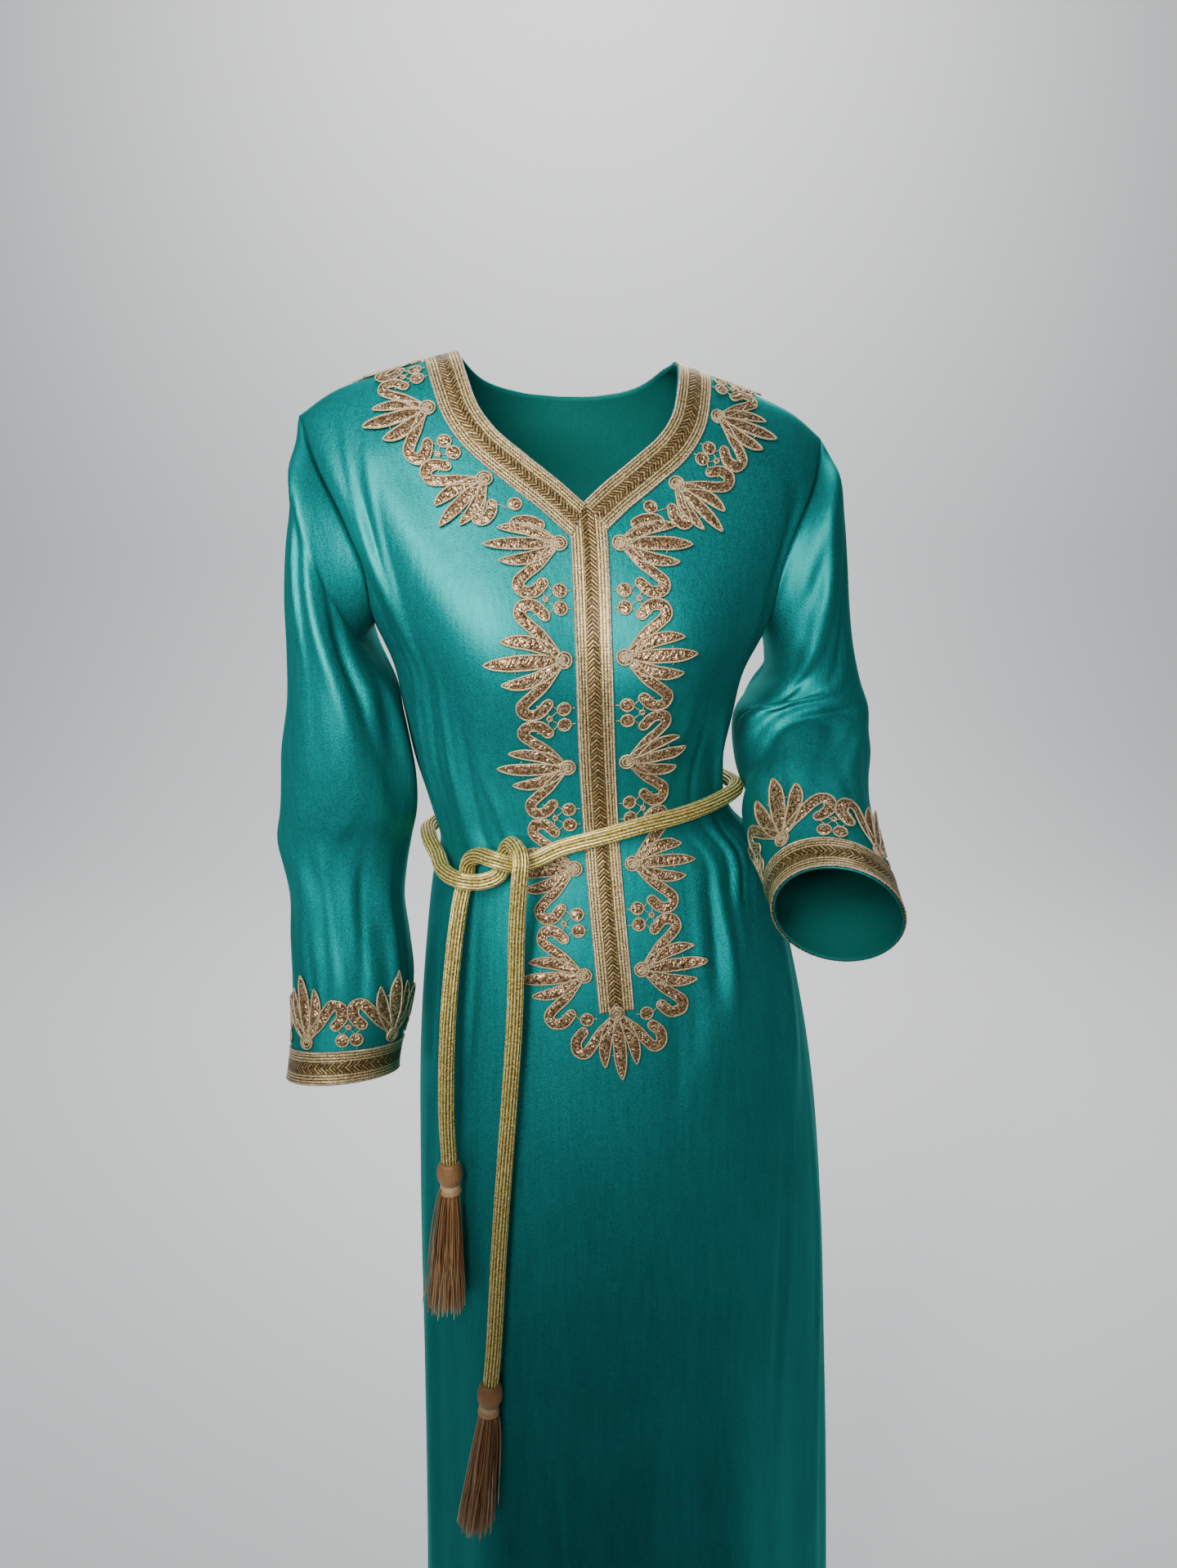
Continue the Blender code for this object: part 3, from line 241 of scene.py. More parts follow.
def tube(line, radius_at, sides, first_side, finish=0):
    """A closed tube: at each point of a line a ring, whose radius depends on turn and place."""
    ahead = unit(np.gradient(line, axis=0))
    side = np.empty_like(ahead)
    side[0] = unit(np.cross(ahead[0], first_side))
    for k in range(1, len(line)):
        side[k] = unit(side[k - 1] - ahead[k] * (side[k - 1] @ ahead[k]))
    along = distances(line)
    turn = 2 * np.pi * np.arange(sides) / sides
    radius = radius_at(turn[None, :], along[:, None])[..., None]
    ring = round_about(turn, side[:, None], np.cross(side, ahead)[:, None])
    return closed_patch(line[:, None] + radius * ring, np.arange(sides + 1) / sides, along, finish=finish)


# %% [markdown]
# ## Shader sums
#
# A finish is a small network of shader nodes. Written out node by node it is hard to read, so
# a small class wraps one output of a node, and its sums add Math nodes. Another class holds
# the material being made, and adds any other node from its type, settings and inputs.

# %% Shader sums
class Value:
    """One output of a shader node. A sum with a number or another output adds a Math node."""

    def __init__(self, finish, output):
        self.finish = finish
        self.output = output

    def math(self, operation, *values):
        return self.finish.node("ShaderNodeMath", {"operation": operation}, dict(enumerate(values)))

    def __add__(self, other):
        return self.math("ADD", self, other)

    def __radd__(self, other):
        return self.math("ADD", other, self)

    def __sub__(self, other):
        return self.math("SUBTRACT", self, other)

    def __rsub__(self, other):
        return self.math("SUBTRACT", other, self)

    def __mul__(self, other):
        return self.math("MULTIPLY", self, other)

    def __truediv__(self, other):
        return self.math("DIVIDE", self, other)

    def __abs__(self):
        return self.math("ABSOLUTE", self)

    def part(self):
        """What is left of a number over its whole part."""
        return self.math("FRACT", self)

    def zigzag(self):
        """0.5 at each whole number, falling evenly to 0 half way to the next."""
        return abs(self.part() - 0.5)

    def below(self, edge, width):
        """1 where the value is under an edge, 0 above it, with a soft step of some width."""
        return self.math("MULTIPLY_ADD", self, -1 / width, 0.5 + edge / width).clipped()

    def clipped(self):
        """The value, held between 0 and 1."""
        return self.math("MAXIMUM", self.math("MINIMUM", self, 1.0), 0.0)


class Finish:
    """A material with a Principled shader, and the nodes that feed it."""

    def __init__(self, name, **fixed):
        self.material = bpy.data.materials.new(name)
        self.material.use_nodes = True
        self.tree = self.material.node_tree
        self.shader = self.tree.nodes["Principled BSDF"]
        for socket, value in fixed.items():
            self.plug(self.shader.inputs[socket.replace("_", " ")], value)

    def plug(self, socket, value):
        if isinstance(value, Value):
            self.tree.links.new(value.output, socket)
        else:
            socket.default_value = value

    def node(self, kind, settings=None, inputs=None, output=0):
        """A node of a type: first its settings, with a ramp's stops, then its inputs' values or links."""
        made = self.tree.nodes.new(kind)
        for name, value in (settings or {}).items():
            if name == "stops":
                for _ in range(len(value) - 2):
                    made.color_ramp.elements.new(0.5)
                for element, (place, colour) in zip(made.color_ramp.elements, value):
                    element.position = place
                    element.color = (*colour, 1)
            else:
                setattr(made, name, value)
        for name, value in (inputs or {}).items():
            self.plug(made.inputs[name], value)
        return Value(self, made.outputs[output])

    def place(self, kind="Object"):
        return self.node("ShaderNodeTexCoord", output=kind)

    def flat(self):
        """The UV map's two distances: across and along."""
        uv = self.place("UV")
        return [self.node("ShaderNodeSeparateXYZ", inputs={0: uv}, output=axis) for axis in "XY"]

    def noise(self, scale, stretch=None):
        """Soft noise on the piece's own place, stretched where a scale for each axis is given."""
        place = self.place()
        if stretch:
            place = self.node("ShaderNodeMapping", inputs={"Vector": place, "Scale": stretch})
        return self.node("ShaderNodeTexNoise", inputs={"Vector": place, "Scale": scale}, output="Fac")

    def cells(self, scale, output="Distance"):
        """A mosaic of cells: the distance from each cell's middle, or a colour for each cell."""
        inputs = {"Vector": self.place(), "Scale": scale}
        return self.node("ShaderNodeTexVoronoi", inputs=inputs, output=output)

    def speckle(self, scale):
        """A random number for each cell of a fine mosaic."""
        colour = self.cells(scale, "Color")
        return self.node("ShaderNodeSeparateColor", inputs={0: colour}, output="Red")

    def ramp(self, value, stops):
        """A colour read from stops: places from 0 to 1, each with its colour."""
        return self.node("ShaderNodeValToRGB", {"stops": stops}, {0: value})

    def mixed(self, share, first, second):
        """A colour between two colours; the Mix node's colour sockets are numbers 6, 7 and 2."""
        first, second = (c if isinstance(c, Value) else (*c, 1) for c in (first, second))
        return self.node("ShaderNodeMix", {"data_type": "RGBA"}, {0: share, 6: first, 7: second}, output=2)

    def made(self, colour, roughness, height):
        """Plugs the colour and the roughness in, and a height in metres through a Bump node."""
        bump = self.node("ShaderNodeBump", inputs={"Distance": 1.0, "Height": height})
        for socket, value in (("Base Color", colour), ("Roughness", roughness), ("Normal", bump)):
            self.plug(self.shader.inputs[socket], value)
        return self.material


# %% [markdown]
# ## The satin
#
# Polyester satin has long floating threads on its face, so it shines in broad, soft, coloured
# highlights, and a very fine grain breaks them up. A partly metallic shader tints the
# highlights with the cloth's own green. Its wrong side, seen inside the neck and the cuffs,
# is duller.

# %% Satin
SATIN_DEEP = (0.000, 0.110, 0.104)
SATIN_LIGHT = (0.006, 0.300, 0.290)
SATIN_TINT = (0.35, 1.0, 0.9, 1)  # of its highlights
GRAIN_SCALE = 900.0  # spots in a metre, about, as for all the scales below
WEAVE_SCALE = 2200.0
STREAK_SCALES = (260, 260, 22)  # long down the cloth
CLOUD_SCALE = 9.0
GRAIN_HEIGHT = 0.00022
WEAVE_HEIGHT = 0.0001
STREAK_HEIGHT = 0.00022


def satin(name, deep, light, metallic, roughness):
    """Grain, a finer weave and long soft streaks, in the colour and in the height."""
    finish = Finish(name, Metallic=metallic, Specular_Tint=SATIN_TINT, Specular_IOR_Level=0.16)
    grain = finish.noise(GRAIN_SCALE)
    weave = finish.noise(WEAVE_SCALE)
    streaks = finish.noise(1.0, stretch=STREAK_SCALES)
    cloud = finish.noise(CLOUD_SCALE)
    colour = finish.mixed(grain * 1.3 + weave * 0.5 + streaks * 0.4 + cloud * 0.3 - 0.75, deep, light)
    height = grain * GRAIN_HEIGHT + weave * WEAVE_HEIGHT + streaks * STREAK_HEIGHT
    return finish.made(colour, roughness + (grain - 0.5) * 0.3, height)


satin_face = satin("green satin", SATIN_DEEP, SATIN_LIGHT, 0.8, 0.54)
satin_back = satin("wrong side of the satin", (0.000, 0.075, 0.060), (0.004, 0.12, 0.10), 0.1, 0.6)

# %% [markdown]
# ## The gold braid
#
# The braid is knitted from gold and silver thread: lengthwise columns of chain stitches on
# each side, a herringbone in the middle and a pale twisted cord along both edges. The columns
# are modelled; the single threads in them are bump and colour on the same distances across
# and along, which the UV map holds in metres.

# %% Gold braid
BRAID_HALF = 0.015
COLUMN = 0.0026  # from one column of stitches to the next
STITCH = 0.0026  # length of a stitch
HERRINGBONE_HALF = 0.0046
HERRINGBONE_PITCH = 0.0034
EDGE_CORD = 0.0019  # width of the cord along each edge
STITCH_LEAN = 1.4  # how far a stitch's two halves lean, in stitches for each column
BONE_REACH = 0.0036  # how far out a herringbone's arm gets while it runs on by one pitch
THREAD_ALONG = 0.0011  # from one thread of the edge cord to the next
THREAD_ACROSS = 0.0013
BRAID_GLINTS = 1100.0  # in a metre
BRAID_THREAD_HEIGHT = 0.0005
BRAID_GLINT_HEIGHT = 0.00012
GOLD_STOPS = [(0.0, (0.040, 0.022, 0.007)), (0.35, (0.17, 0.105, 0.034)),
              (0.7, (0.46, 0.33, 0.13)), (1.0, (0.86, 0.74, 0.46))]


def braid_gold():
    """Painted shade between the columns and in the herringbone's grooves, painted highlights on the
    threads' tops; darker on every second V, pale at the edges.
    """
    finish = Finish("gold braid", Metallic=0.72, Coat_Weight=0.1)
    across, along = finish.flat()
    aside = abs(across)
    in_column = (across / COLUMN).zigzag()
    chain = (along / STITCH + in_column * STITCH_LEAN).zigzag()
    bone = (along / HERRINGBONE_PITCH - aside / BONE_REACH).zigzag()
    every_second = (along / (2 * HERRINGBONE_PITCH) - aside / (2 * BONE_REACH)).zigzag()
    threads = (along / THREAD_ALONG + across / THREAD_ACROSS).zigzag()
    middle = aside.below(HERRINGBONE_HALF, width=0.0004)
    edge = 1 - aside.below(BRAID_HALF - EDGE_CORD, width=0.0003)
    side = (1 - middle) * (1 - edge)
    relief = middle * bone + side * (chain * 0.45 + (0.5 - in_column) * 1.3 - 0.12) + edge * threads
    speckle = finish.speckle(BRAID_GLINTS)
    # The relief paints shade into the grooves and highlights onto the raised threads and the edge cord
    shade = relief * 1.35 + speckle * 0.5 - 0.12 - middle * (every_second * 0.5 + 0.08)
    pale = finish.mixed(speckle, (0.28, 0.18, 0.095), (0.74, 0.60, 0.42))
    colour = finish.mixed(edge, finish.ramp(shade, GOLD_STOPS), pale)
    height = relief * BRAID_THREAD_HEIGHT + speckle * BRAID_GLINT_HEIGHT
    return finish.made(colour, 0.30 + speckle * 0.25, height)


gold_braid = braid_gold()

# %% [markdown]
# ## The lace
#
# Each shape of the lace is filled with tiny rose-bronze sequins and outlined by a pale gold
# cord. The fill's surface is cut into small flat facets that glint one by one, and the
# material gives every sequin its own shade. The cord is twisted, which is a bump that winds
# round it.

# %% Lace
SEQUIN_SCALE = 760.0
FLECK_SCALE = 2100.0
SEQUIN_STEP = 0.0003  # how much higher one sequin lies than another
SEQUIN_RIM = 0.0002
CORD_WIND = 0.0014  # along the cord, from one thread to the next
CORD_GLINTS = 1300.0
CORD_THREAD_HEIGHT = 0.0004


def sequin_bronze():
    """A shade and a height for each sequin, with finer flecks in it."""
    finish = Finish("rose bronze sequins", Metallic=0.8)
    speckle = finish.speckle(SEQUIN_SCALE)
    rim = finish.cells(SEQUIN_SCALE)
    fleck = finish.speckle(FLECK_SCALE)
    colour = finish.ramp(speckle * 0.75 + fleck * 0.25, [
        (0.0, (0.045, 0.024, 0.009)), (0.4, (0.20, 0.110, 0.048)),
        (0.75, (0.47, 0.30, 0.16)), (1.0, (0.96, 0.80, 0.58))])
    return finish.made(colour, 0.18 + fleck * 0.28, speckle * SEQUIN_STEP - rim * SEQUIN_RIM)


def lace_cord():
    """Threads that wind round the cord: a zigzag of the distance along and the turn, with painted shade
    between them and painted highlights on them.
    """
    finish = Finish("pale gold cord", Metallic=0.55)
    turn, along = finish.flat()
    wind = (along / CORD_WIND + turn).zigzag()
    speckle = finish.speckle(CORD_GLINTS)
    # The winding paints shade between the threads and highlights on their tops
    colour = finish.ramp(wind * 1.2 + speckle * 0.4, [
        (0.0, (0.14, 0.095, 0.040)), (0.5, (0.42, 0.32, 0.17)), (1.0, (0.80, 0.70, 0.47))])
    return finish.made(colour, 0.34 + speckle * 0.2, wind * CORD_THREAD_HEIGHT)


sequins = sequin_bronze()
outline_gold = lace_cord()

# %% [markdown]
# ## The rope and the tassels
#
# The rope is knitted from yellow gold thread with silver glints: each rib is a column of
# V-shaped stitches. The tassels are copper brown silk, and every strand has its own shade.

# %% Rope and threads
ROPE_RIBS = 14  # lengthwise rows of chain stitches round the rope
RIB_TWIST = 0.3  # turns that the ribs wind round the rope in a metre
ROPE_STITCH = 0.0034
ROPE_STITCH_LEAN = 0.9  # as the braid's
ROPE_GLINTS = 950.0
ROPE_THREAD_HEIGHT = 0.0006
SILK_SCALES = (900, 900, 60)  # long down the threads
SILK_HEIGHT = 0.0002
SHADES = 7.31  # spreads the first UV value over all the shades


def rope_gold():
    """Painted highlights on the ribs and painted shade between them, with V-shaped stitches and glints."""
    finish = Finish("yellow gold rope", Metallic=0.6)
    turn, along = finish.flat()
    in_rib = ((turn + along * RIB_TWIST) * ROPE_RIBS).zigzag()
    stitch = (along / ROPE_STITCH - in_rib * ROPE_STITCH_LEAN).zigzag()
    speckle = finish.speckle(ROPE_GLINTS)
    relief = in_rib * 1.85 + stitch * 0.22
    # The relief paints highlights on the ribs' and stitches' tops and shade in the grooves
    colour = finish.ramp(relief * 0.95 + speckle * 0.5 - 0.2, [
        (0.0, (0.060, 0.036, 0.005)), (0.35, (0.26, 0.18, 0.026)),
        (0.7, (0.62, 0.48, 0.11)), (1.0, (1.0, 0.92, 0.52))])
    return finish.made(colour, 0.30 + speckle * 0.3, relief * ROPE_THREAD_HEIGHT)


def silk(name, stops):
    """Threads in shades from the UV map's first value, with darker roots and paler ends."""
    finish = Finish(name, Metallic=0.15, Sheen_Weight=0.3, Sheen_Roughness=0.35)
    shade, down = finish.flat()
    own = (shade * SHADES).part()
    fine = finish.noise(1.0, stretch=SILK_SCALES)
    colour = finish.ramp(own * 0.6 + down * 0.25 + fine * 0.3 - 0.06, stops)
    return finish.made(colour, 0.38 + fine * 0.2, fine * SILK_HEIGHT)


rope_knit = rope_gold()
COPPER = [(0.0, (0.060, 0.022, 0.006)), (0.4, (0.24, 0.105, 0.032)), (0.7, (0.50, 0.27, 0.105)),
          (1.0, (0.88, 0.64, 0.36))]
tassel_silk = silk("copper silk", COPPER)
tie_silk = silk("tie thread", [(0.0, (0.40, 0.24, 0.10)), (1.0, (0.75, 0.58, 0.36))])

# %% [markdown]
# ## The rope belt
#
# The belt is one knitted rope, 14 mm thick and 1.7 m long. Its short end hangs from the knot
# at the waist, the rest goes round the body and comes back through the knot into the long
# end. The route's points are the same as in the imported model, and run from the short end
# to the long one. The tube's radius dips between the ribs of the knitting.

# %% The rope's route
ROPE_ROUTE = np.array([
    (-0.106, -0.108, -0.692), (-0.107, -0.110, -0.635), (-0.104, -0.109, -0.560), (-0.098, -0.102, -0.495),
    (-0.092, -0.096, -0.452), (-0.087, -0.092, -0.433), (-0.084, -0.094, -0.418), (-0.074, -0.107, -0.409),
    (-0.060, -0.123, -0.408), (-0.045, -0.122, -0.412), (-0.028, -0.118, -0.410), (-0.005, -0.115, -0.400),
    (0.027, -0.115, -0.391), (0.060, -0.108, -0.383), (0.095, -0.091, -0.378), (0.124, -0.064, -0.374),
    (0.147, -0.029, -0.370), (0.149, 0.010, -0.370), (0.132, 0.057, -0.372), (0.090, 0.087, -0.378),
    (0.040, 0.098, -0.386), (-0.015, 0.091, -0.395), (-0.066, 0.080, -0.402), (-0.107, 0.050, -0.408),
    (-0.129, 0.006, -0.411), (-0.125, -0.035, -0.413), (-0.114, -0.065, -0.421), (-0.106, -0.088, -0.428),
    (-0.090, -0.109, -0.430), (-0.072, -0.109, -0.431), (-0.057, -0.108, -0.424), (-0.053, -0.109, -0.407),
    (-0.046, -0.120, -0.396), (-0.038, -0.135, -0.403), (-0.039, -0.139, -0.423), (-0.042, -0.134, -0.465),
    (-0.046, -0.130, -0.560), (-0.060, -0.132, -0.740), (-0.067, -0.133, -0.850), (-0.071, -0.134, -0.896),
])
ROPE_RADIUS = 0.007
ROPE_SIDES = 4 * ROPE_RIBS
RIB_DEPTH = 0.16  # of the rope's radius
ROPE_CUTS = 20
ROPE_STEP = 0.0024  # from one ring of the tube to the next

rope_line = evenly(line_through(ROPE_ROUTE, ROPE_CUTS), ROPE_STEP)


# %% The knitted tube
def rope_radius(turn, along):
    """The radius dips between the ribs by the fourth power of a sine, and the ribs wind slowly."""
    wave = np.sin(ROPE_RIBS / 2 * (turn + 2 * np.pi * RIB_TWIST * along)) ** 2
    return ROPE_RADIUS * (1 - RIB_DEPTH * wave**2)


rope_patch = tube(rope_line, rope_radius, ROPE_SIDES, (0, 1, 0))
rope = add_piece("belt_rope_knit", "belt_rope", [rope_patch], [rope_knit])

# %% [markdown]
# ## The tassels
#
# A tassel is a bundle of silk threads folded over the rope's end: a round head whose threads
# run lengthwise, a thin thread tied round its neck, and a skirt of loose threads below. The
# head is a turned profile with shallow ribs. The skirt is a few hundred thin four-sided
# strands, each from its own place in the neck to its own place at the foot, worked out
# together as one array.

# %% The tassels' sizes
HEAD_LENGTH = 0.024
HEAD_RADIUS = 0.0108
# Down the head as a share of its length, and its radius as a share of the head's
HEAD_PROFILE = np.array([
    (-0.07, 0.62), (-0.11, 0.70), (-0.07, 0.80), (0.03, 0.90), (0.18, 0.99), (0.36, 1.02),
    (0.55, 0.97), (0.70, 0.84), (0.80, 0.74), (0.90, 0.76), (1.02, 0.86), (1.15, 0.84), (1.22, 0.5),
])
HEAD_CUTS = 3  # rings from one of these to the next
HEAD_THREADS = 44
SIDES_PER_THREAD = 3
HEAD_SIDES = SIDES_PER_THREAD * HEAD_THREADS
HEAD_RIB = 0.03  # of the radius
TIE_TURNS = 4
TIE_CUTS = 24  # points of the tie in a turn
TIE_RADIUS = 0.0006
TIE_PITCH = 1.9 * TIE_RADIUS
TIE_DOWN = 0.76  # where the tie starts, as a share of the head's length
ROOT_DOWN = 0.9  # and the skirt
TIE_OUT = 0.78  # of the head's radius
TIE_SIDES = 6
STRANDS = 300
STRAND_RINGS = 9
STRAND_RADIUS = 0.00042
STRAND_TAPER = 0.75
STRAND_SIDES = 4  # so a strand's end caps are quads too
SWAY = 0.0011
ROOT_RADIUS = 0.0072  # the skirt's at the neck
SKIRT_RADIUS = 0.0178  # and at its foot
FLARE = 0.72  # below 1 the skirt opens out early
LENGTHS = (0.93, 1.0)  # of a thread, as shares of the skirt's length
STRAY = 14  # threads that stick out, and are shorter
STRAY_LENGTHS = (0.75, 0.95)  # shares of their own length that they keep
STRAY_WIDTHS = (1.15, 1.5)  # how much farther out they get
CORE_LENGTH = 0.86  # of the skirt's length
CORE_RADIUS = 0.0062  # at the neck
CORE_FLARE = 0.0045  # how much wider it gets
CORE_SIDES = 16
CORE_CUTS = 8
CORE_END = 0.9  # share of its radius that is rounded off at the foot
SHORT_FOOT = np.array([-0.111, -0.116, -0.8296])
LONG_FOOT = np.array([-0.087, -0.140, -1.0405])


# %% Heads and ties
def sides_of(direction):
    """Two directions at right angles to each other and to a direction."""
    side = unit(np.cross(direction, (0, 1, 0)))
    return side, np.cross(side, direction)


def tassel_head(top, ahead):
    """A turned profile: rings along the axis, ribbed by a cosine for each thread."""
    side, other = sides_of(ahead)
    down, share = line_through(HEAD_PROFILE, HEAD_CUTS).T
    turn = 2 * np.pi * np.arange(HEAD_SIDES) / HEAD_SIDES
    rib = 1 + HEAD_RIB * np.cos(HEAD_THREADS * turn)
    radius = share[:, None] * HEAD_RADIUS * rib
    ring = round_about(turn, side, other)
    points = top + ahead * (down * HEAD_LENGTH)[:, None, None] + radius[..., None] * ring
    return closed_patch(points, np.arange(HEAD_SIDES + 1) / SIDES_PER_THREAD, down)


def tassel_tie(top, ahead):
    """A thin thread wound round the neck: a tube on a helix."""
    side, other = sides_of(ahead)
    turn = np.linspace(0, 2 * np.pi * TIE_TURNS, TIE_CUTS * TIE_TURNS)
    down = HEAD_LENGTH * TIE_DOWN + turn / (2 * np.pi) * TIE_PITCH
    line = top + ahead * down[:, None] + round_about(turn, side, other) * HEAD_RADIUS * TIE_OUT
    return tube(line, lambda turn, along: TIE_RADIUS + 0 * turn * along, TIE_SIDES, ahead, finish=1)


# %% The skirt
def skirt_lines(root, foot, random):
    """Each thread's middle line: straight from root to foot, spread outwards and a little wavy.

    The spread grows from the root's radius to the skirt's with the distance down to the power
    FLARE, and each thread keeps its own angle and its own share of it. The sway is one and a
    half half waves of a sine.
    """
    down = np.linspace(0, 1, STRAND_RINGS)[None, :, None]
    angle = random.uniform(0, 2 * np.pi, (STRANDS, 1, 1))
    share = np.sqrt(random.uniform(0.02, 1, (STRANDS, 1, 1)))
    out = np.concatenate([np.cos(angle), np.sin(angle), 0 * angle], axis=2)
    spread = (1 - down**FLARE) * ROOT_RADIUS + down**FLARE * SKIRT_RADIUS
    length = random.uniform(*LENGTHS, (STRANDS, 1, 1))
    length[:STRAY] *= random.uniform(*STRAY_LENGTHS, (STRAY, 1, 1))
    widen = np.ones((STRANDS, 1, 1))
    widen[:STRAY] = random.uniform(*STRAY_WIDTHS, (STRAY, 1, 1))
    sway = random.normal(0, SWAY, (STRANDS, 1, 3)) * np.sin(np.pi * down * 1.5)
    return root + (foot - root) * down * length + out * spread * share * widen * length + sway


def skirt(root, foot, seed):
    """All threads as four-sided tubes: each ring is a small square round the thread's line."""
    random = np.random.default_rng(seed)
    lines = skirt_lines(root, foot, random)
    ahead = unit(np.gradient(lines, axis=1))
    side = unit(np.cross(ahead, (0.3, 1, 0)))
    turn = 2 * np.pi * np.arange(STRAND_SIDES) / STRAND_SIDES
    ring = round_about(turn, side[:, :, None], np.cross(side, ahead)[:, :, None])
    taper = np.linspace(1, STRAND_TAPER, STRAND_RINGS)[None, :, None, None]
    points = lines[:, :, None] + ring * STRAND_RADIUS * taper
    one = grid_faces(STRAND_RINGS, STRAND_SIDES, wrap_columns=True)
    one = np.concatenate([one, end_caps(STRAND_RINGS, STRAND_SIDES)])
    starts = STRAND_SIDES * STRAND_RINGS * np.arange(STRANDS)
    quads = (one[None] + starts[:, None, None]).reshape(-1, 4)
    # Each corner's UV: the thread's own shade, and how far down the corner's ring is
    shade = np.repeat(random.uniform(0, 1, STRANDS), len(one))[:, None]
    down = (one // STRAND_SIDES) / (STRAND_RINGS - 1)
    uv = np.stack([np.repeat(shade, 4, axis=1), np.tile(down, (STRANDS, 1))], axis=-1)
    return Patch(points, quads, uv, smooth=False).outward()


def skirt_core(root, foot):
    """A closed cone inside the threads, so that no light shows through them.

    It widens with the distance down to the power FLARE, and its sixth power rounds the end off.
    """
    line = root + (foot - root) * np.linspace(0, CORE_LENGTH, CORE_CUTS)[:, None]
    along_most = float(distances(line)[-1])

    def radius(turn, along):
        share = along / along_most
        return (CORE_RADIUS + CORE_FLARE * share**FLARE) * (1 - CORE_END * share**6) + 0 * turn

    return tube(line, radius, CORE_SIDES, (0, 1, 0))


# %% Both tassels
def build_tassel(name, node, top, before, foot, seed):
    """A tassel on the rope's last point, in line with the point before it."""
    ahead = unit(top - before)
    root = top + ahead * HEAD_LENGTH * ROOT_DOWN
    patches = [tassel_head(top, ahead), tassel_tie(top, ahead)]
    patches += [skirt(root, foot, seed), skirt_core(root, foot)]
    return add_piece(name, node, patches, [tassel_silk, tie_silk])


short_tassel = build_tassel("short_tassel", "tassel_short", rope_line[0], rope_line[1], SHORT_FOOT, 3)
long_tassel = build_tassel("long_tassel", "tassel_long", rope_line[-1], rope_line[-2], LONG_FOOT, 5)

# %% [markdown]
# ## The cut of the dress
#
# The body is a stack of sections, from the shoulders to the hem: each has a half width, a
# depth in front and behind, a centre, and a turn, because the hips are turned a little. A
# smooth curve through each column gives every height in between. The same short tables make
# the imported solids, and the same formula is read here on a much finer grid.

# %% Tables and smooth curves
def table(columns, rows):
    """A short table with named columns, as arrays."""
    return dict(zip(columns.split(), np.array(rows, float).T))


def smooth(rows, column, x):
    """The column's value at x, the table's first column, on one smooth cubic curve."""
    keys = list(rows)
    xs = rows[keys[0]]
    ys = rows[column]
    order = np.argsort(xs)
    xs = xs[order]
    ys = ys[order]
    slopes = np.gradient(ys, xs)
    x = np.clip(x, xs[0], xs[-1])
    i = np.clip(np.searchsorted(xs, x) - 1, 0, len(xs) - 2)
    step = xs[i + 1] - xs[i]
    t = (x - xs[i]) / step
    return (
        (2 * t**3 - 3 * t**2 + 1) * ys[i]
        + (t**3 - 2 * t**2 + t) * step * slopes[i]
        + (3 * t**2 - 2 * t**3) * ys[i + 1]
        + (t**3 - t**2) * step * slopes[i + 1]
    )


# %% The body's sections
SHOULDER_X = 0.226  # centre line to the end of the shoulder seam
NECK_X = 0.0925  # centre line to the neck end of the shoulder seam
UNDERARM = -0.225
HEM = -1.430
SHOULDER_ROUND = 0.075  # how far below the seam the shoulder has its full depth
SEAM_HOLD = 16  # how sharply the folds die away at the side seams
SIDE_DROP = 0.03  # the right side hangs lower by this share of its distance out

BODY = table("height half_width front back centre_x centre_y roundness turn", [
    (0.020, 0.232, 0.050, 0.050, -0.001, 0.004, 2.4, 8),
    (-0.050, 0.232, 0.062, 0.066, -0.001, 0.004, 2.4, 8),
    (-0.100, 0.223, 0.086, 0.086, -0.001, 0.003, 2.4, 8),
    (-0.150, 0.204, 0.112, 0.096, -0.001, 0.002, 2.4, 8),
    (-0.200, 0.180, 0.129, 0.099, -0.001, 0.001, 2.4, 8),
    (-0.225, 0.170, 0.133, 0.099, 0.000, 0.000, 2.3, 8),
    (-0.260, 0.154, 0.133, 0.096, -0.001, 0.000, 2.2, 8),
    (-0.300, 0.146, 0.123, 0.090, -0.001, 0.000, 2.2, 8),
    (-0.345, 0.138, 0.111, 0.085, 0.000, 0.000, 2.2, 8),
    (-0.372, 0.1345, 0.105, 0.083, 0.0045, 0.000, 2.2, 8),
    (-0.395, 0.137, 0.102, 0.084, 0.0135, 0.000, 2.2, 7),
    (-0.416, 0.145, 0.105, 0.089, 0.0270, 0.001, 2.2, 7),
    (-0.450, 0.156, 0.111, 0.098, 0.031, 0.002, 2.2, 6),
    (-0.520, 0.170, 0.121, 0.113, 0.036, 0.003, 2.2, 6),
    (-0.600, 0.182, 0.126, 0.121, 0.041, 0.004, 2.2, 6),
    (-0.750, 0.194, 0.132, 0.127, 0.048, 0.004, 2.2, 6),
    (-0.950, 0.201, 0.138, 0.134, 0.053, 0.004, 2.2, 6),
    (-1.200, 0.209, 0.144, 0.143, 0.057, 0.004, 2.2, 6),
    (-1.430, 0.218, 0.150, 0.152, 0.058, 0.004, 2.2, 6),
])
SHOULDER = table("out height", [
    (0.0, 0.034), (0.0925, 0.0), (0.125, -0.010), (0.165, -0.023), (0.200, -0.038), (0.226, -0.057),
])
NECK_FRONT = table("share out height", [
    (0.0, 0.000, -0.1225), (0.2, 0.018, -0.1065), (0.4, 0.042, -0.0875), (0.6, 0.068, -0.0650),
    (0.73, 0.0795, -0.0480), (0.86, 0.0865, -0.0255), (1.0, 0.0925, 0.0),
])
NECK_BACK = table("share out height", [
    (0.0, 0.000, -0.026), (0.35, 0.035, -0.0245), (0.7, 0.070, -0.0165), (1.0, 0.0925, 0.0),
])
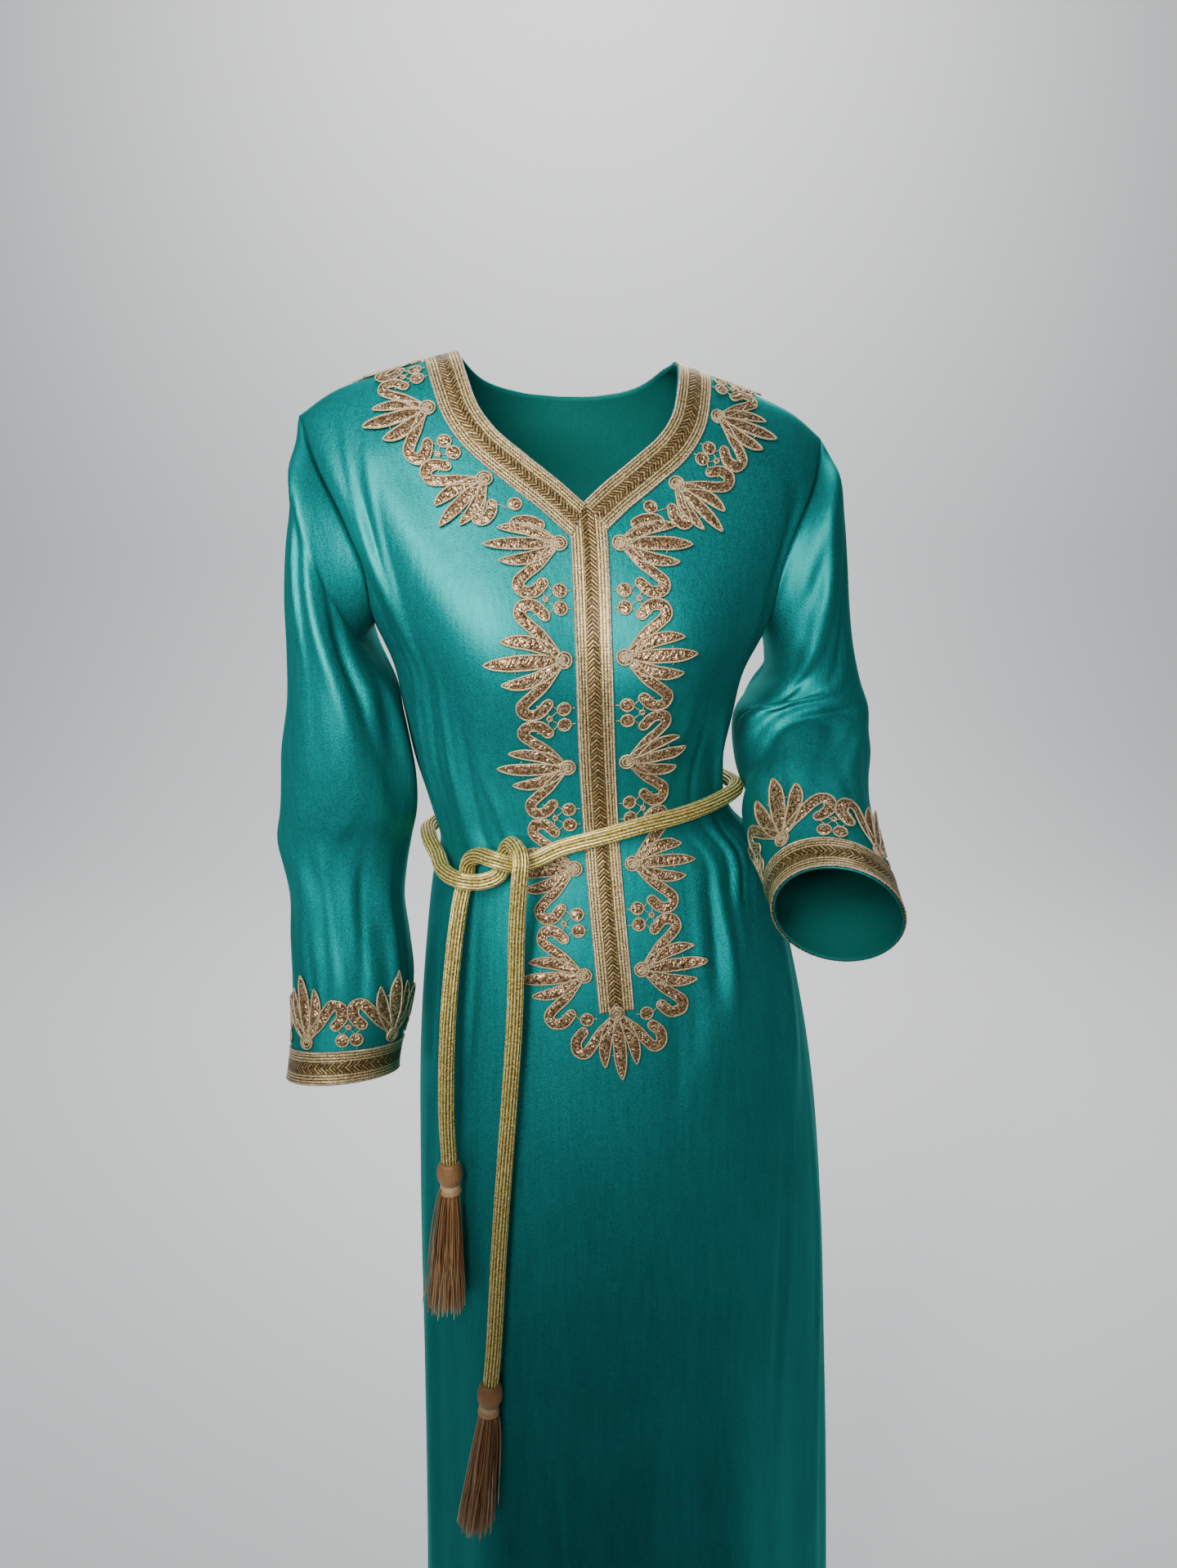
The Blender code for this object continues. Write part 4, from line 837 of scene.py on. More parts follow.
ARMHOLE = table("share out height", [
    (0.0, 0.226, -0.057), (0.25, 0.211, -0.098), (0.5, 0.190, -0.140), (0.75, 0.174, -0.186),
    (0.9, 0.170, -0.212), (1.0, 0.170, -0.225),
])
print("sections:", len(BODY["height"]))

# %% [markdown]
# ## Folds and creases
#
# Cloth falls in large folds, and between them lie the small creases that catch the light. Both
# are soft ridges: a cosine bump across, a bump along, at an angle round the body. A crease is
# narrower and shallower, and its line may bow.

# %% Folds
# A fold: where its middle is (degrees from the front or back centre, + to +X), half its
# angle, how it leans (degrees for each metre down), its top, bottom, and how far it stands out
FRONT_FOLDS = table("angle spread lean top bottom out", [
    (-27, 27, 0, -0.13, -0.36, 0.013), (25, 27, 0, -0.13, -0.36, 0.013),
    (-48, 10, 60, -0.02, -0.24, 0.004), (-62, 8, 40, -0.03, -0.26, 0.004),
    (-66, 9, -60, -0.30, -0.47, 0.005), (-46, 8, -40, -0.30, -0.50, 0.004),
    (54, 9, 130, -0.28, -0.44, 0.005), (44, 9, -120, -0.42, -0.66, 0.006),
    (66, 9, -70, -0.44, -0.72, 0.006), (-72, 9, 0, -0.46, -1.60, 0.010),
    (-44, 13, 4, -0.62, -1.70, 0.009), (-10, 13, 3, -0.56, -1.70, -0.006),
    (22, 12, 6, -0.60, -1.70, 0.009), (48, 12, 0, -0.58, -1.70, -0.006),
    (72, 11, 2, -0.55, -1.70, 0.008),
])
BACK_FOLDS = table("angle spread lean top bottom out", [
    (-34, 20, 0, -0.05, -0.26, 0.005), (32, 20, 0, -0.05, -0.26, 0.005),
    (-26, 9, -20, -0.30, -0.56, 0.006), (24, 9, 20, -0.29, -0.54, 0.006),
    (-64, 10, 0, -0.48, -1.60, 0.009), (-30, 13, 0, -0.60, -1.70, 0.010),
    (2, 14, 0, -0.52, -1.70, -0.007), (36, 13, 0, -0.60, -1.70, 0.010),
    (66, 10, 0, -0.50, -1.60, 0.009),
])

# %% Creases
# The same columns as a fold's, and how far the line bows aside, in degrees
FRONT_CREASES = table("angle spread lean top bottom out bow", [
    (-74, 5.0, 10, -0.09, -0.40, 0.0030, 3), (-66, 4.0, 30, -0.06, -0.33, -0.0028, 4),
    (-58, 3.6, 30, -0.07, -0.30, 0.0026, 2), (-49, 2.5, -26, -0.02, -0.29, 0.0026, 0),
    (-40, 2.5, -62, -0.02, -0.28, 0.0026, 0), (-44, 3.4, -44, -0.06, -0.26, -0.0012, 0),
    (70, 5.0, -10, -0.09, -0.36, 0.0030, -3), (46, 6.5, 130, -0.07, -0.23, -0.0052, 3),
    (62, 4.0, -30, -0.07, -0.30, -0.0026, -4), (-60, 3.2, -30, -0.19, -0.41, 0.0034, 2),
    (-53, 3.0, -24, -0.20, -0.40, -0.0030, 1), (-47, 2.8, -14, -0.22, -0.42, 0.0030, 0),
    (-41, 2.8, -10, -0.25, -0.44, -0.0024, 1), (-34, 3.2, -6, -0.28, -0.45, 0.0020, -2),
    (-68, 3.0, -20, -0.27, -0.44, -0.0026, 2), (30, 3.6, 12, -0.24, -0.40, 0.0014, 2),
    (40, 3.2, 26, -0.26, -0.42, -0.0018, 2), (56, 3.6, 60, -0.29, -0.42, 0.0022, 0),
    (-80, 4.2, 0, -0.50, -1.10, 0.0040, 3), (-66, 3.4, 6, -0.45, -0.80, -0.0030, 2),
    (-55, 3.6, -14, -0.42, -0.86, 0.0036, 2), (-47, 3.2, -12, -0.43, -0.80, -0.0030, 2),
    (-36, 4.0, 3, -0.50, -1.20, 0.0034, 3), (-20, 3.4, -2, -0.70, -1.60, -0.0022, -3),
    (2, 4.2, 2, -0.62, -1.35, 0.0020, 3), (12, 3.2, 5, -0.45, -0.75, -0.0014, 2),
    (27, 3.6, -30, -0.39, -0.62, 0.0026, 0), (33, 3.0, -36, -0.38, -0.58, -0.0030, 0),
    (38, 3.2, -44, -0.37, -0.62, 0.0036, -1), (44, 3.0, -60, -0.37, -0.56, -0.0030, 0),
    (51, 3.2, -120, -0.365, -0.50, 0.0034, 0), (57, 2.8, -150, -0.365, -0.49, -0.0034, 0),
    (64, 3.2, -150, -0.37, -0.50, 0.0034, 0), (46, 4.0, -14, -0.56, -1.10, -0.0032, 2),
    (63, 3.6, 0, -0.56, -1.30, 0.0034, 3), (80, 4.0, -6, -0.48, -1.00, 0.0036, -3),
])
BACK_CREASES = table("angle spread lean top bottom out bow", [
    (-72, 5.0, 8, -0.08, -0.38, 0.0030, 3), (-60, 4.0, 26, -0.10, -0.34, -0.0024, 2),
    (68, 5.0, -12, -0.08, -0.36, 0.0030, -3), (57, 4.2, -22, -0.09, -0.30, -0.0022, -2),
    (-14, 4.5, 4, -0.10, -0.36, 0.0016, 2), (10, 4.0, -6, -0.14, -0.38, 0.0014, -2),
    (-44, 3.4, -10, -0.28, -0.50, 0.0022, 2), (-34, 3.0, -4, -0.30, -0.46, -0.0018, 1),
    (44, 3.6, 10, -0.28, -0.52, 0.0022, -2), (35, 3.0, 6, -0.31, -0.46, -0.0016, 0),
    (-50, 4.0, 0, -0.50, -1.10, 0.0032, 3), (-18, 3.6, 3, -0.55, -1.30, 0.0026, -3),
    (14, 4.2, -3, -0.60, -1.20, -0.0024, 3), (24, 3.4, 2, -0.46, -0.90, 0.0024, 2),
    (52, 4.0, 4, -0.55, -1.25, 0.0030, -2), (78, 4.0, 0, -0.50, -1.00, 0.0034, 3),
])


def bump(distance):
    """1 at 0, falling smoothly to 0 at 1 and beyond: half a cosine wave."""
    return np.where(np.abs(distance) < 1, 0.5 + 0.5 * np.cos(np.pi * np.clip(distance, -1, 1)), 0.0)


def fold_depth(folds, angle, height):
    """How far the folds move the cloth out: a bump across times a bump along, summed.

    A line leans by its degrees for each metre down, and one with a bow swings aside by it,
    first one way and then the other, as one full sine wave from its top to its bottom.
    """
    out = np.zeros(np.broadcast(angle, height).shape)
    for middle, spread, lean, top, bottom, depth, *bow in zip(*folds.values()):
        run = (height - top) / (bottom - top)
        line = middle - lean * (height - top) + sum(bow) * np.sin(2 * np.pi * np.clip(run, 0, 1))
        out += depth * bump((angle - line) / spread) * bump(2 * run - 1)
    return out


print("creases:", len(FRONT_CREASES["angle"]) + len(BACK_CREASES["angle"]))

# %% [markdown]
# ## The front and the back
#
# A panel's grid starts along the neck edge and the shoulder seams, closes in on the armhole
# at both sides and then runs straight down to the hem. Only its points on the seams are
# shared with the next panel, so the seams meet exactly.

# %% The body's surface
def squarish(wave, power):
    """A sine or cosine, its size raised to 2 / power: above 2 its oval has squarer corners."""
    return np.sign(wave) * np.abs(wave) ** (2 / power)


def body_at(out, height, front):
    """A point so far out from the centre line at a height, with its folds.

    The section is an oval, (out / half)**power + (y / deep)**power = 1. Near the shoulder seam
    its depth shrinks as a quarter circle. The folds move the point along the normal of the
    plain ellipse of that width and depth, and the section is turned about its centre.
    """
    out, height = np.broadcast_arrays(np.asarray(out, float), np.asarray(height, float))
    half = smooth(BODY, "half_width", height)
    deep = smooth(BODY, "front" if front else "back", height)
    power = smooth(BODY, "roundness", height)
    share = np.clip(np.abs(out) / half, 0, 1)
    round_off = (1 - share**power) ** (1 / power)
    below = np.clip((smooth(SHOULDER, "height", np.abs(out)) - height) / SHOULDER_ROUND, 0, 1)
    cap = np.sqrt(1 - (1 - below) ** 2)
    y = deep * round_off * cap
    angle = np.degrees(np.arctan2(out / half, round_off))
    folds = fold_depth(FRONT_FOLDS if front else BACK_FOLDS, angle, height)
    folds = folds + fold_depth(FRONT_CREASES if front else BACK_CREASES, angle, height)
    normal = np.stack([out / half**2, y / np.maximum(deep, 0.01) ** 2])
    normal = normal / np.maximum(np.linalg.norm(normal, axis=0), 1e-9)
    folds = folds * cap * (1 - share**SEAM_HOLD)
    x = out + folds * normal[0]
    y = y + folds * normal[1]
    y = -y if front else y
    turn = np.radians(smooth(BODY, "turn", height))
    return np.stack(
        [
            smooth(BODY, "centre_x", height) + x * np.cos(turn) - y * np.sin(turn),
            smooth(BODY, "centre_y", height) + x * np.sin(turn) + y * np.cos(turn),
            height - SIDE_DROP * x * bump(height),
        ],
        axis=-1,
    )


# %% A panel's grid
SEAM_CELLS = 36  # cells along one shoulder seam
FRONT_NECK_CELLS = 36  # and along half the neck edge
BACK_NECK_CELLS = 12
ARMHOLE_CELLS = 54
COLUMN_SPREAD = 0.94  # below 1 the columns lie wider apart towards the sides
# Heights of the rows below the arms, closer together down to the hips
LEVELS = np.concatenate([np.linspace(UNDERARM - 0.005, -0.555, 66), np.linspace(-0.562, HEM, 118)])


def panel_grid(front):
    """Rows from the neck and shoulders down to the hem, columns from one side to the other."""
    neck = NECK_FRONT if front else NECK_BACK
    neck_cells = FRONT_NECK_CELLS if front else BACK_NECK_CELLS
    half_cells = SEAM_CELLS + neck_cells
    side = np.arange(-half_cells, half_cells + 1)
    steps = np.abs(side)
    along_neck = np.minimum(steps / neck_cells, 1)
    along_seam = np.maximum(steps - neck_cells, 0) / SEAM_CELLS
    on_seam = steps > neck_cells
    seam_out = NECK_X + (SHOULDER_X - NECK_X) * along_seam
    top_out = np.where(on_seam, seam_out, smooth(neck, "out", along_neck)) * np.sign(side)
    top_height = np.where(
        on_seam, smooth(SHOULDER, "height", seam_out), smooth(neck, "height", along_neck)
    )
    angle = np.radians(90) * np.sign(side) * (steps / half_cells) ** COLUMN_SPREAD
    low_share = squarish(np.sin(angle), smooth(BODY, "roundness", UNDERARM))
    low_out = smooth(BODY, "half_width", UNDERARM) * low_share
    down = np.linspace(0, 1, ARMHOLE_CELLS + 1)[:, None]
    out = (1 - down) * top_out + down * low_out
    height = (1 - down) * top_height + down * UNDERARM
    # Towards the sides, by the cube of the share, the rows are drawn onto the armhole
    weight = (steps / half_cells) ** 3
    out = out + np.sign(side) * weight * (smooth(ARMHOLE, "out", down) - np.abs(out[:, -1:]))
    height = height + weight * (smooth(ARMHOLE, "height", down) - height[:, -1:])
    level = LEVELS[:, None]
    share = squarish(np.sin(angle), smooth(BODY, "roundness", level))
    lower = body_at(smooth(BODY, "half_width", level) * share, level, front)
    return np.concatenate([body_at(out, height, front), lower])


front_grid = panel_grid(True)
back_grid = panel_grid(False)
print("front grid:", front_grid.shape, "back grid:", back_grid.shape)

# %% [markdown]
# ## The sleeves
#
# A sleeve is a row of rings from the armhole to the cuff. Each ring has a centre, a width and
# a depth, and it tips as the arm bends. The first ring is the armhole's own edge on the front
# and the back, and a smooth curve through the same point of every ring gives the surface
# between them.

# %% The sleeves' rings
RING = 2 * ARMHOLE_CELLS  # points round a sleeve
RING_CUTS = 6  # rows from one ring to the next
FADE_IN = 1.5  # rings over which the creases grow from the armhole
FADE_OUT = 1.2  # and die away at the cuff
# Rings down each sleeve: the centre, half sizes across and front to back, how far the outer
# side is tipped up, how far the ring faces forward from straight down, and its squareness
SLEEVE_LEFT = table("x y z half_width half_depth tilt pitch power", [
    (-0.2010, -0.027, -0.1605, 0.0800, 0.0650, 70, 0, 2.6),
    (-0.1993, -0.029, -0.1825, 0.0717, 0.0655, 65, 0, 2.5),
    (-0.1988, -0.035, -0.2058, 0.0620, 0.0660, 55, 0, 2.4),
    (-0.1965, -0.042, -0.2318, 0.0536, 0.0660, 41, 0, 2.2),
    (-0.1925, -0.047, -0.2605, 0.0485, 0.0650, 25, 0, 2.2),
    (-0.1905, -0.050, -0.2925, 0.0477, 0.0640, 10, 0, 2.2),
    (-0.1903, -0.049, -0.3260, 0.0518, 0.0620, 2, 0, 2.2),
    (-0.1905, -0.044, -0.3560, 0.0552, 0.0600, 0, 0, 2.2),
    (-0.1960, -0.036, -0.3850, 0.0595, 0.0580, 0, 4, 2.2),
    (-0.2025, -0.028, -0.4120, 0.0595, 0.0550, 0, 8, 2.2),
    (-0.2025, -0.026, -0.4400, 0.0538, 0.0530, 0, 10, 2.2),
    (-0.2018, -0.027, -0.4700, 0.0500, 0.0520, 0, 12, 2.2),
    (-0.2010, -0.029, -0.5050, 0.0520, 0.0520, 0, 12, 2.2),
    (-0.1990, -0.036, -0.5420, 0.0525, 0.0520, 0, 12, 2.2),
    (-0.2000, -0.042, -0.5750, 0.0515, 0.0515, -1, 12, 2.2),
    (-0.2035, -0.047, -0.5980, 0.0490, 0.0500, -2, 12, 2.1),
    (-0.2060, -0.050, -0.6140, 0.0480, 0.0490, -3, 12, 2.0),
    (-0.2080, -0.053, -0.6300, 0.0485, 0.0490, -4, 12, 2.0),
])
SLEEVE_RIGHT = table("x y z half_width half_depth tilt pitch power", [
    (0.2065, 0.029, -0.1668, 0.0795, 0.0650, 69, 0, 2.6),
    (0.2110, 0.030, -0.1897, 0.0676, 0.0655, 63, 0, 2.5),
    (0.2140, 0.031, -0.2143, 0.0566, 0.0660, 55, 0, 2.4),
    (0.2162, 0.033, -0.2412, 0.0488, 0.0660, 44, 0, 2.2),
    (0.2122, 0.033, -0.2682, 0.0505, 0.0650, 27, 0, 2.2),
    (0.2100, 0.030, -0.2911, 0.0563, 0.0640, 13, 6, 2.2),
    (0.2115, 0.023, -0.3110, 0.0610, 0.0635, 4, 20, 2.2),
    (0.2105, 0.010, -0.3300, 0.0605, 0.0620, -1, 34, 2.2),
    (0.2110, -0.006, -0.3470, 0.0590, 0.0600, -2, 43, 2.2),
    (0.2110, -0.029, -0.3645, 0.0530, 0.0580, -3, 50, 2.2),
    (0.2060, -0.054, -0.3820, 0.0540, 0.0560, -5, 55, 2.2),
    (0.2070, -0.079, -0.3985, 0.0530, 0.0545, -8, 58, 2.2),
    (0.2105, -0.102, -0.4130, 0.0510, 0.0530, -11, 60, 2.2),
    (0.2135, -0.122, -0.4260, 0.0510, 0.0525, -13, 61, 2.1),
    (0.2155, -0.139, -0.4360, 0.0510, 0.0525, -15, 61, 2.0),
    (0.2167, -0.155, -0.4455, 0.0510, 0.0525, -16, 61, 2.0),
])

# %% The sleeves' folds
# Ring number at the middle, half its length in rings, the angle round the sleeve (0 outer,
# 90 front or top), half its angle, how it winds (degrees a ring), and its rise
LEFT_FOLDS = table("ring reach angle spread wind out", [
    (5.0, 5.5, 95, 26, 2, 0.006), (6.5, 5.0, 150, 24, -3, -0.006), (7.6, 2.2, 20, 40, 10, 0.004),
    (9.6, 1.8, 10, 42, 0, -0.004), (9.5, 2.0, 130, 34, 0, 0.005), (12.0, 2.6, 60, 24, 0, 0.005),
    (12.0, 2.4, 120, 20, 4, -0.004), (11.5, 3.0, 240, 30, 0, 0.005), (6.0, 4.0, 270, 28, 0, 0.006),
    (13.8, 1.6, 90, 15, 0, 0.003), (13.8, 1.6, 135, 15, 0, -0.003), (13.8, 1.6, 200, 20, 0, 0.003),
])
RIGHT_FOLDS = table("ring reach angle spread wind out", [
    (4.2, 3.4, 100, 24, 14, 0.008), (5.6, 2.2, 120, 24, 14, -0.009), (7.2, 2.4, 130, 30, 12, 0.009),
    (8.6, 2.0, 70, 26, 10, -0.006), (10.2, 2.6, 110, 26, 0, 0.005), (10.5, 2.6, 55, 22, 0, 0.004),
    (6.0, 2.6, 330, 40, 0, 0.005), (9.0, 3.0, 250, 30, 0, 0.005), (12.0, 1.6, 80, 16, 0, 0.003),
    (12.0, 1.6, 130, 16, 0, -0.003),
])
LEFT_CREASES = table("ring reach angle spread wind out", [
    (4.6, 4.6, 117, 14, 6, -0.0058), (4.2, 4.2, 90, 12, 7, 0.0030), (3.0, 2.8, 57, 7, 5, 0.0028),
    (5.2, 3.4, 40, 9, 2, -0.0016), (7.0, 5.0, 168, 12, 2, 0.0030), (9.2, 2.8, 48, 14, 9, -0.0022),
    (9.8, 2.4, 92, 14, -8, 0.0020), (10.6, 2.4, 30, 13, 6, 0.0018), (11.8, 3.8, 84, 10, 2, 0.0026),
    (12.4, 3.6, 112, 8, -2, -0.0024), (12.8, 3.0, 146, 9, 2, 0.0022), (13.6, 2.6, 62, 8, 0, -0.0018),
    (6.0, 5.0, 220, 14, 3, 0.0034), (9.0, 4.0, 258, 12, -4, -0.0030), (12.0, 3.6, 300, 12, 0, 0.0030),
    (5.0, 4.0, 320, 12, -2, -0.0026),
])
RIGHT_CREASES = table("ring reach angle spread wind out", [
    (2.4, 2.2, 76, 15, 8, 0.0020), (4.2, 3.0, 56, 12, 9, -0.0022), (6.0, 2.0, 122, 13, 22, -0.0036),
    (7.4, 2.6, 110, 18, 26, 0.0048), (8.6, 2.0, 92, 17, 34, -0.0050), (9.6, 2.4, 58, 12, 8, -0.0022),
    (10.4, 2.6, 92, 12, 4, 0.0024), (11.6, 2.2, 118, 10, 2, -0.0018), (12.4, 1.8, 72, 9, 0, 0.0016),
    (5.0, 3.4, 220, 14, 4, 0.0032), (8.0, 3.4, 262, 12, -4, -0.0028), (10.5, 3.0, 300, 12, 0, 0.0028),
    (4.0, 3.0, 330, 12, -2, -0.0024),
])


def ring_rise(folds, away_from, turn):
    """How far the folds lift a sleeve: a bump along the rings times a bump round them, summed."""
    rise = np.zeros(np.broadcast(away_from, turn).shape)
    for ring, reach, angle, spread, wind, out in zip(*folds.values()):
        away = away_from - ring
        off = (np.degrees(turn) - angle - wind * away + 180) % 360 - 180
        rise += out * bump(away / reach) * bump(off / spread)
    return rise


def sleeve_ring(rows, folds, number, side):
    """One ring: a squared-off ellipse with its folds, from the outer side over the front."""
    x, y, z, width, depth, tilt, pitch, power = (rows[name][number] for name in rows)
    turn = 2 * np.pi * np.arange(RING) / RING
    tilt, pitch = np.radians([tilt, pitch])
    down = np.array([0, -np.sin(pitch), -np.cos(pitch)])
    forward = np.array([0, -np.cos(pitch), np.sin(pitch)])
    aside = np.array([side * np.cos(tilt), 0, 0]) - np.sin(tilt) * down
    rise = ring_rise(folds, number + 1, turn)
    c = np.cos(turn)
    s = np.sin(turn)
    return (
        np.array([x, y, z])
        + np.outer(width * squarish(c, power) + rise * c, aside)
        + np.outer(depth * squarish(s, power) + rise * s, forward)
    )


def sleeve_grid(rows, folds, creases, side, facing):
    """Smooth rows through the armhole's edge and the rings, then the creases along the normals."""
    column = 0 if side < 0 else -1
    edge = front_grid[: ARMHOLE_CELLS + 1, column]
    rings = [np.concatenate([edge, back_grid[1:ARMHOLE_CELLS, column][::-1]])]
    for number in range(len(rows["x"])):
        rings.append(sleeve_ring(rows, folds, number, side))
    grid = line_through(np.array(rings), RING_CUTS)
    count = len(grid)
    quads = grid_faces(count, RING, wrap_columns=True)
    normals = point_normals(grid.reshape(-1, 3), quads).reshape(grid.shape) * facing
    place = (np.arange(count) / RING_CUTS)[:, None]
    rise = ring_rise(creases, place, 2 * np.pi * np.arange(RING) / RING)
    fade = np.minimum(place / FADE_IN, 1) * np.minimum((place[-1] - place) / FADE_OUT, 1)
    return grid + normals * (rise * fade)[..., None]


left_grid = sleeve_grid(SLEEVE_LEFT, LEFT_FOLDS, LEFT_CREASES, -1, 1)
right_grid = sleeve_grid(SLEEVE_RIGHT, RIGHT_FOLDS, RIGHT_CREASES, 1, -1)
print("sleeve grids:", left_grid.shape, right_grid.shape)

# %% [markdown]
# ## Thin shells of satin
#
# Sewn cloth turns in at a seam, which shows as a fine groove. The points that two panels
# share get one normal between them and sink along it by under a millimetre. Solidify then
# gives each surface the cloth's thickness, inwards, with the duller wrong side inside.

# %% Panels
WALL = 0.0014  # satin with its turnings
SEAM_SINK = 0.0008


class Panel:
    """A cloth surface: its grid, whether it closes, which way it faces, its quads and normals."""

    def __init__(self, grid, closed, facing):
        self.rows, self.columns = grid.shape[:2]
        self.closed = closed
        self.points = grid.reshape(-1, 3)
        self.quads = grid_faces(self.rows, self.columns, wrap_columns=closed)
        if facing < 0:
            self.quads = self.quads[:, ::-1]
        self.facing = facing
        self.normals = point_normals(self.points, self.quads)

    def uv(self):
        """Distances across and along, taken at the panel's middle."""
        grid = self.points.reshape(self.rows, self.columns, 3)
        along = distances(grid[:, self.columns // 2])
        across = distances(grid[self.rows // 2])
        if self.closed:
            across = np.append(across, across[-1] + np.linalg.norm(grid[0, 0] - grid[0, -1]))
        uv = corner_values(across, along)
        return uv if self.facing > 0 else uv[:, ::-1]

    def area(self):
        """The sum of the quads' areas, in square metres."""
        return float(np.linalg.norm(quad_normals(self.points, self.quads), axis=1).sum() / 2)


panels = {
    "body_front": Panel(front_grid, False, 1),
    "body_back": Panel(back_grid, False, -1),
    "sleeve_left": Panel(left_grid, True, 1),
    "sleeve_right": Panel(right_grid, True, -1),
}


def join_seams():
    """Points in the same place on two panels share one normal and sink along it."""
    every = list(panels.values())
    points = np.concatenate([p.points for p in every])
    normals = np.concatenate([p.normals for p in every])
    panel = np.concatenate([np.full(len(p.points), k) for k, p in enumerate(every)])
    keys = np.round(points * 1e5).astype(int)
    _, spot = np.unique(keys, axis=0, return_inverse=True)
    spot = spot.ravel()
    total = np.zeros((spot.max() + 1, 3))
    np.add.at(total, spot, normals)
    low = np.full(spot.max() + 1, len(every))
    high = np.full(spot.max() + 1, -1)
    np.minimum.at(low, spot, panel)
    np.maximum.at(high, spot, panel)
    shared = (low < high)[spot]
    joined = unit(total)[spot]
    points = points + joined * (WALL / 2 - SEAM_SINK * shared)[:, None]
    start = 0
    for p in every:
        p.points = points[start : start + len(p.points)]
        p.normals = joined[start : start + len(p.points)]
        start += len(p.points)
    return int(shared.sum())


print("points on seams:", join_seams())


# %% Cloth pieces
def build_cloth(name, node):
    """The panel's outer face as a mesh, thickened inwards."""
    panel = panels[node]
    patch = Patch(panel.points, panel.quads, panel.uv())
    piece = add_piece(name, node, [patch], [satin_face, satin_back])
    wall = piece.modifiers.new("cloth", "SOLIDIFY")
    wall.thickness = WALL
    wall.offset = -1
    wall.material_offset = 1
    print(f"{name}: {panel.area():.3f} square metres")


build_cloth("front_satin", "body_front")
build_cloth("back_satin", "body_back")
build_cloth("left_sleeve_satin", "sleeve_left")
build_cloth("right_sleeve_satin", "sleeve_right")

# %% [markdown]
# ## Trims lie on the cloth
#
# A trim is first worked out flat: a distance along a line on the dress, a distance out from
# it, and a height. A carpet then says where the cloth lies under such a place. It is read
# beforehand on a grid a few millimetres apart, by finding the nearest point of the satin, and
# a place in between is blended from its four neighbours. A trim that is stiffer than satin
# bridges the smallest creases in just this way.

# %% The cloth under a trim
NEARNESS = 1e-4  # keeps a corner's weight finite where the place is on it
CARPET_STEP = 0.004
CARPET_MARGIN = 0.004


class Cloth:
    """The outer face of some panels, with a search tree for the nearest point."""

    def __init__(self, *names):
        starts = np.cumsum([0] + [len(panels[name].points) for name in names])
        self.points = np.concatenate([panels[name].points for name in names])
        self.normals = np.concatenate([panels[name].normals for name in names])
        self.quads = np.concatenate([panels[name].quads + s for name, s in zip(names, starts)])
        self.tree = BVHTree.FromPolygons(self.points.tolist(), self.quads.tolist())

    def under(self, places):
        """The nearest point of the cloth, and the corners' normals weighted by nearness."""
        found = [self.tree.find_nearest(Vector(place)) for place in places]
        spots = np.array([hit[0] for hit in found])
        corners = self.quads[[hit[2] for hit in found]]
        away = np.linalg.norm(self.points[corners] - spots[:, None], axis=-1)
        weight = 1 / (away + NEARNESS)
        return spots, unit((self.normals[corners] * weight[..., None]).sum(axis=1))


class Spine:
    """A line on the cloth that a trim follows: a place along it, and a distance out from it."""

    def __init__(self, points, cloth, flip=1):
        self.points = np.asarray(points)
        self.cloth = cloth
        self.along = distances(self.points)
        self.length = self.along[-1]
        self.tangent = unit(np.gradient(self.points, self.along, axis=0))
        self.out = unit(np.cross(cloth.under(self.points)[1], self.tangent) * flip)

    def read(self, values, along):
        """The values at the line's points, blended at places along it."""
        return np.stack([np.interp(along, self.along, values[:, k]) for k in range(3)], axis=-1)

    def at(self, along, out):
        """The point on the line, moved straight on past its ends, and out at right angles."""
        along, out = np.broadcast_arrays(np.asarray(along, float), np.asarray(out, float))
        inside = np.clip(along, 0, self.length)
        past = self.read(self.tangent, inside) * (along - inside)[..., None]
        return self.read(self.points, inside) + past + self.read(self.out, inside) * out[..., None]


class Carpet:
    """Points and normals of the cloth on a grid along a spine, read between by blending."""

    def __init__(self, spine, along_range, out_range):
        self.low = np.array([along_range[0], out_range[0]]) - CARPET_MARGIN
        high = np.array([along_range[1], out_range[1]]) + CARPET_MARGIN
        self.cells = np.ceil((high - self.low) / CARPET_STEP).astype(int)
        self.step = (high - self.low) / self.cells
        along = self.low[0] + self.step[0] * np.arange(self.cells[0] + 1)
        out = self.low[1] + self.step[1] * np.arange(self.cells[1] + 1)
        places = spine.at(along[:, None], out[None, :])
        spots, normals = spine.cloth.under(places.reshape(-1, 3))
        self.spots = spots.reshape(places.shape)
        self.normals = normals.reshape(places.shape)

    def lay(self, flat):
        """Points in space of flat places (along, out, height)."""
        place = (flat[:, :2] - self.low) / self.step
        cell = np.clip(np.floor(place).astype(int), 0, self.cells - 1)
        i, j = cell.T
        s, t = (place - cell).T[:, :, None]

        def blend(grid):
            first = grid[i, j] * (1 - s) + grid[i + 1, j] * s
            return first * (1 - t) + (grid[i, j + 1] * (1 - s) + grid[i + 1, j + 1] * s) * t

        return blend(self.spots) + unit(blend(self.normals)) * flat[:, 2:]


def laid(patches, carpet):
    """Flat patches laid on a carpet, turned so that all their faces point outwards."""
    placed = [patch.moved(carpet.lay(patch.points)) for patch in patches]
    if sum(patch.volume() for patch in placed) < 0:
        placed = [patch.turned() for patch in placed]
    return placed


body = Cloth("body_front", "body_back")
print("cloth quads under the trims:", len(body.quads))

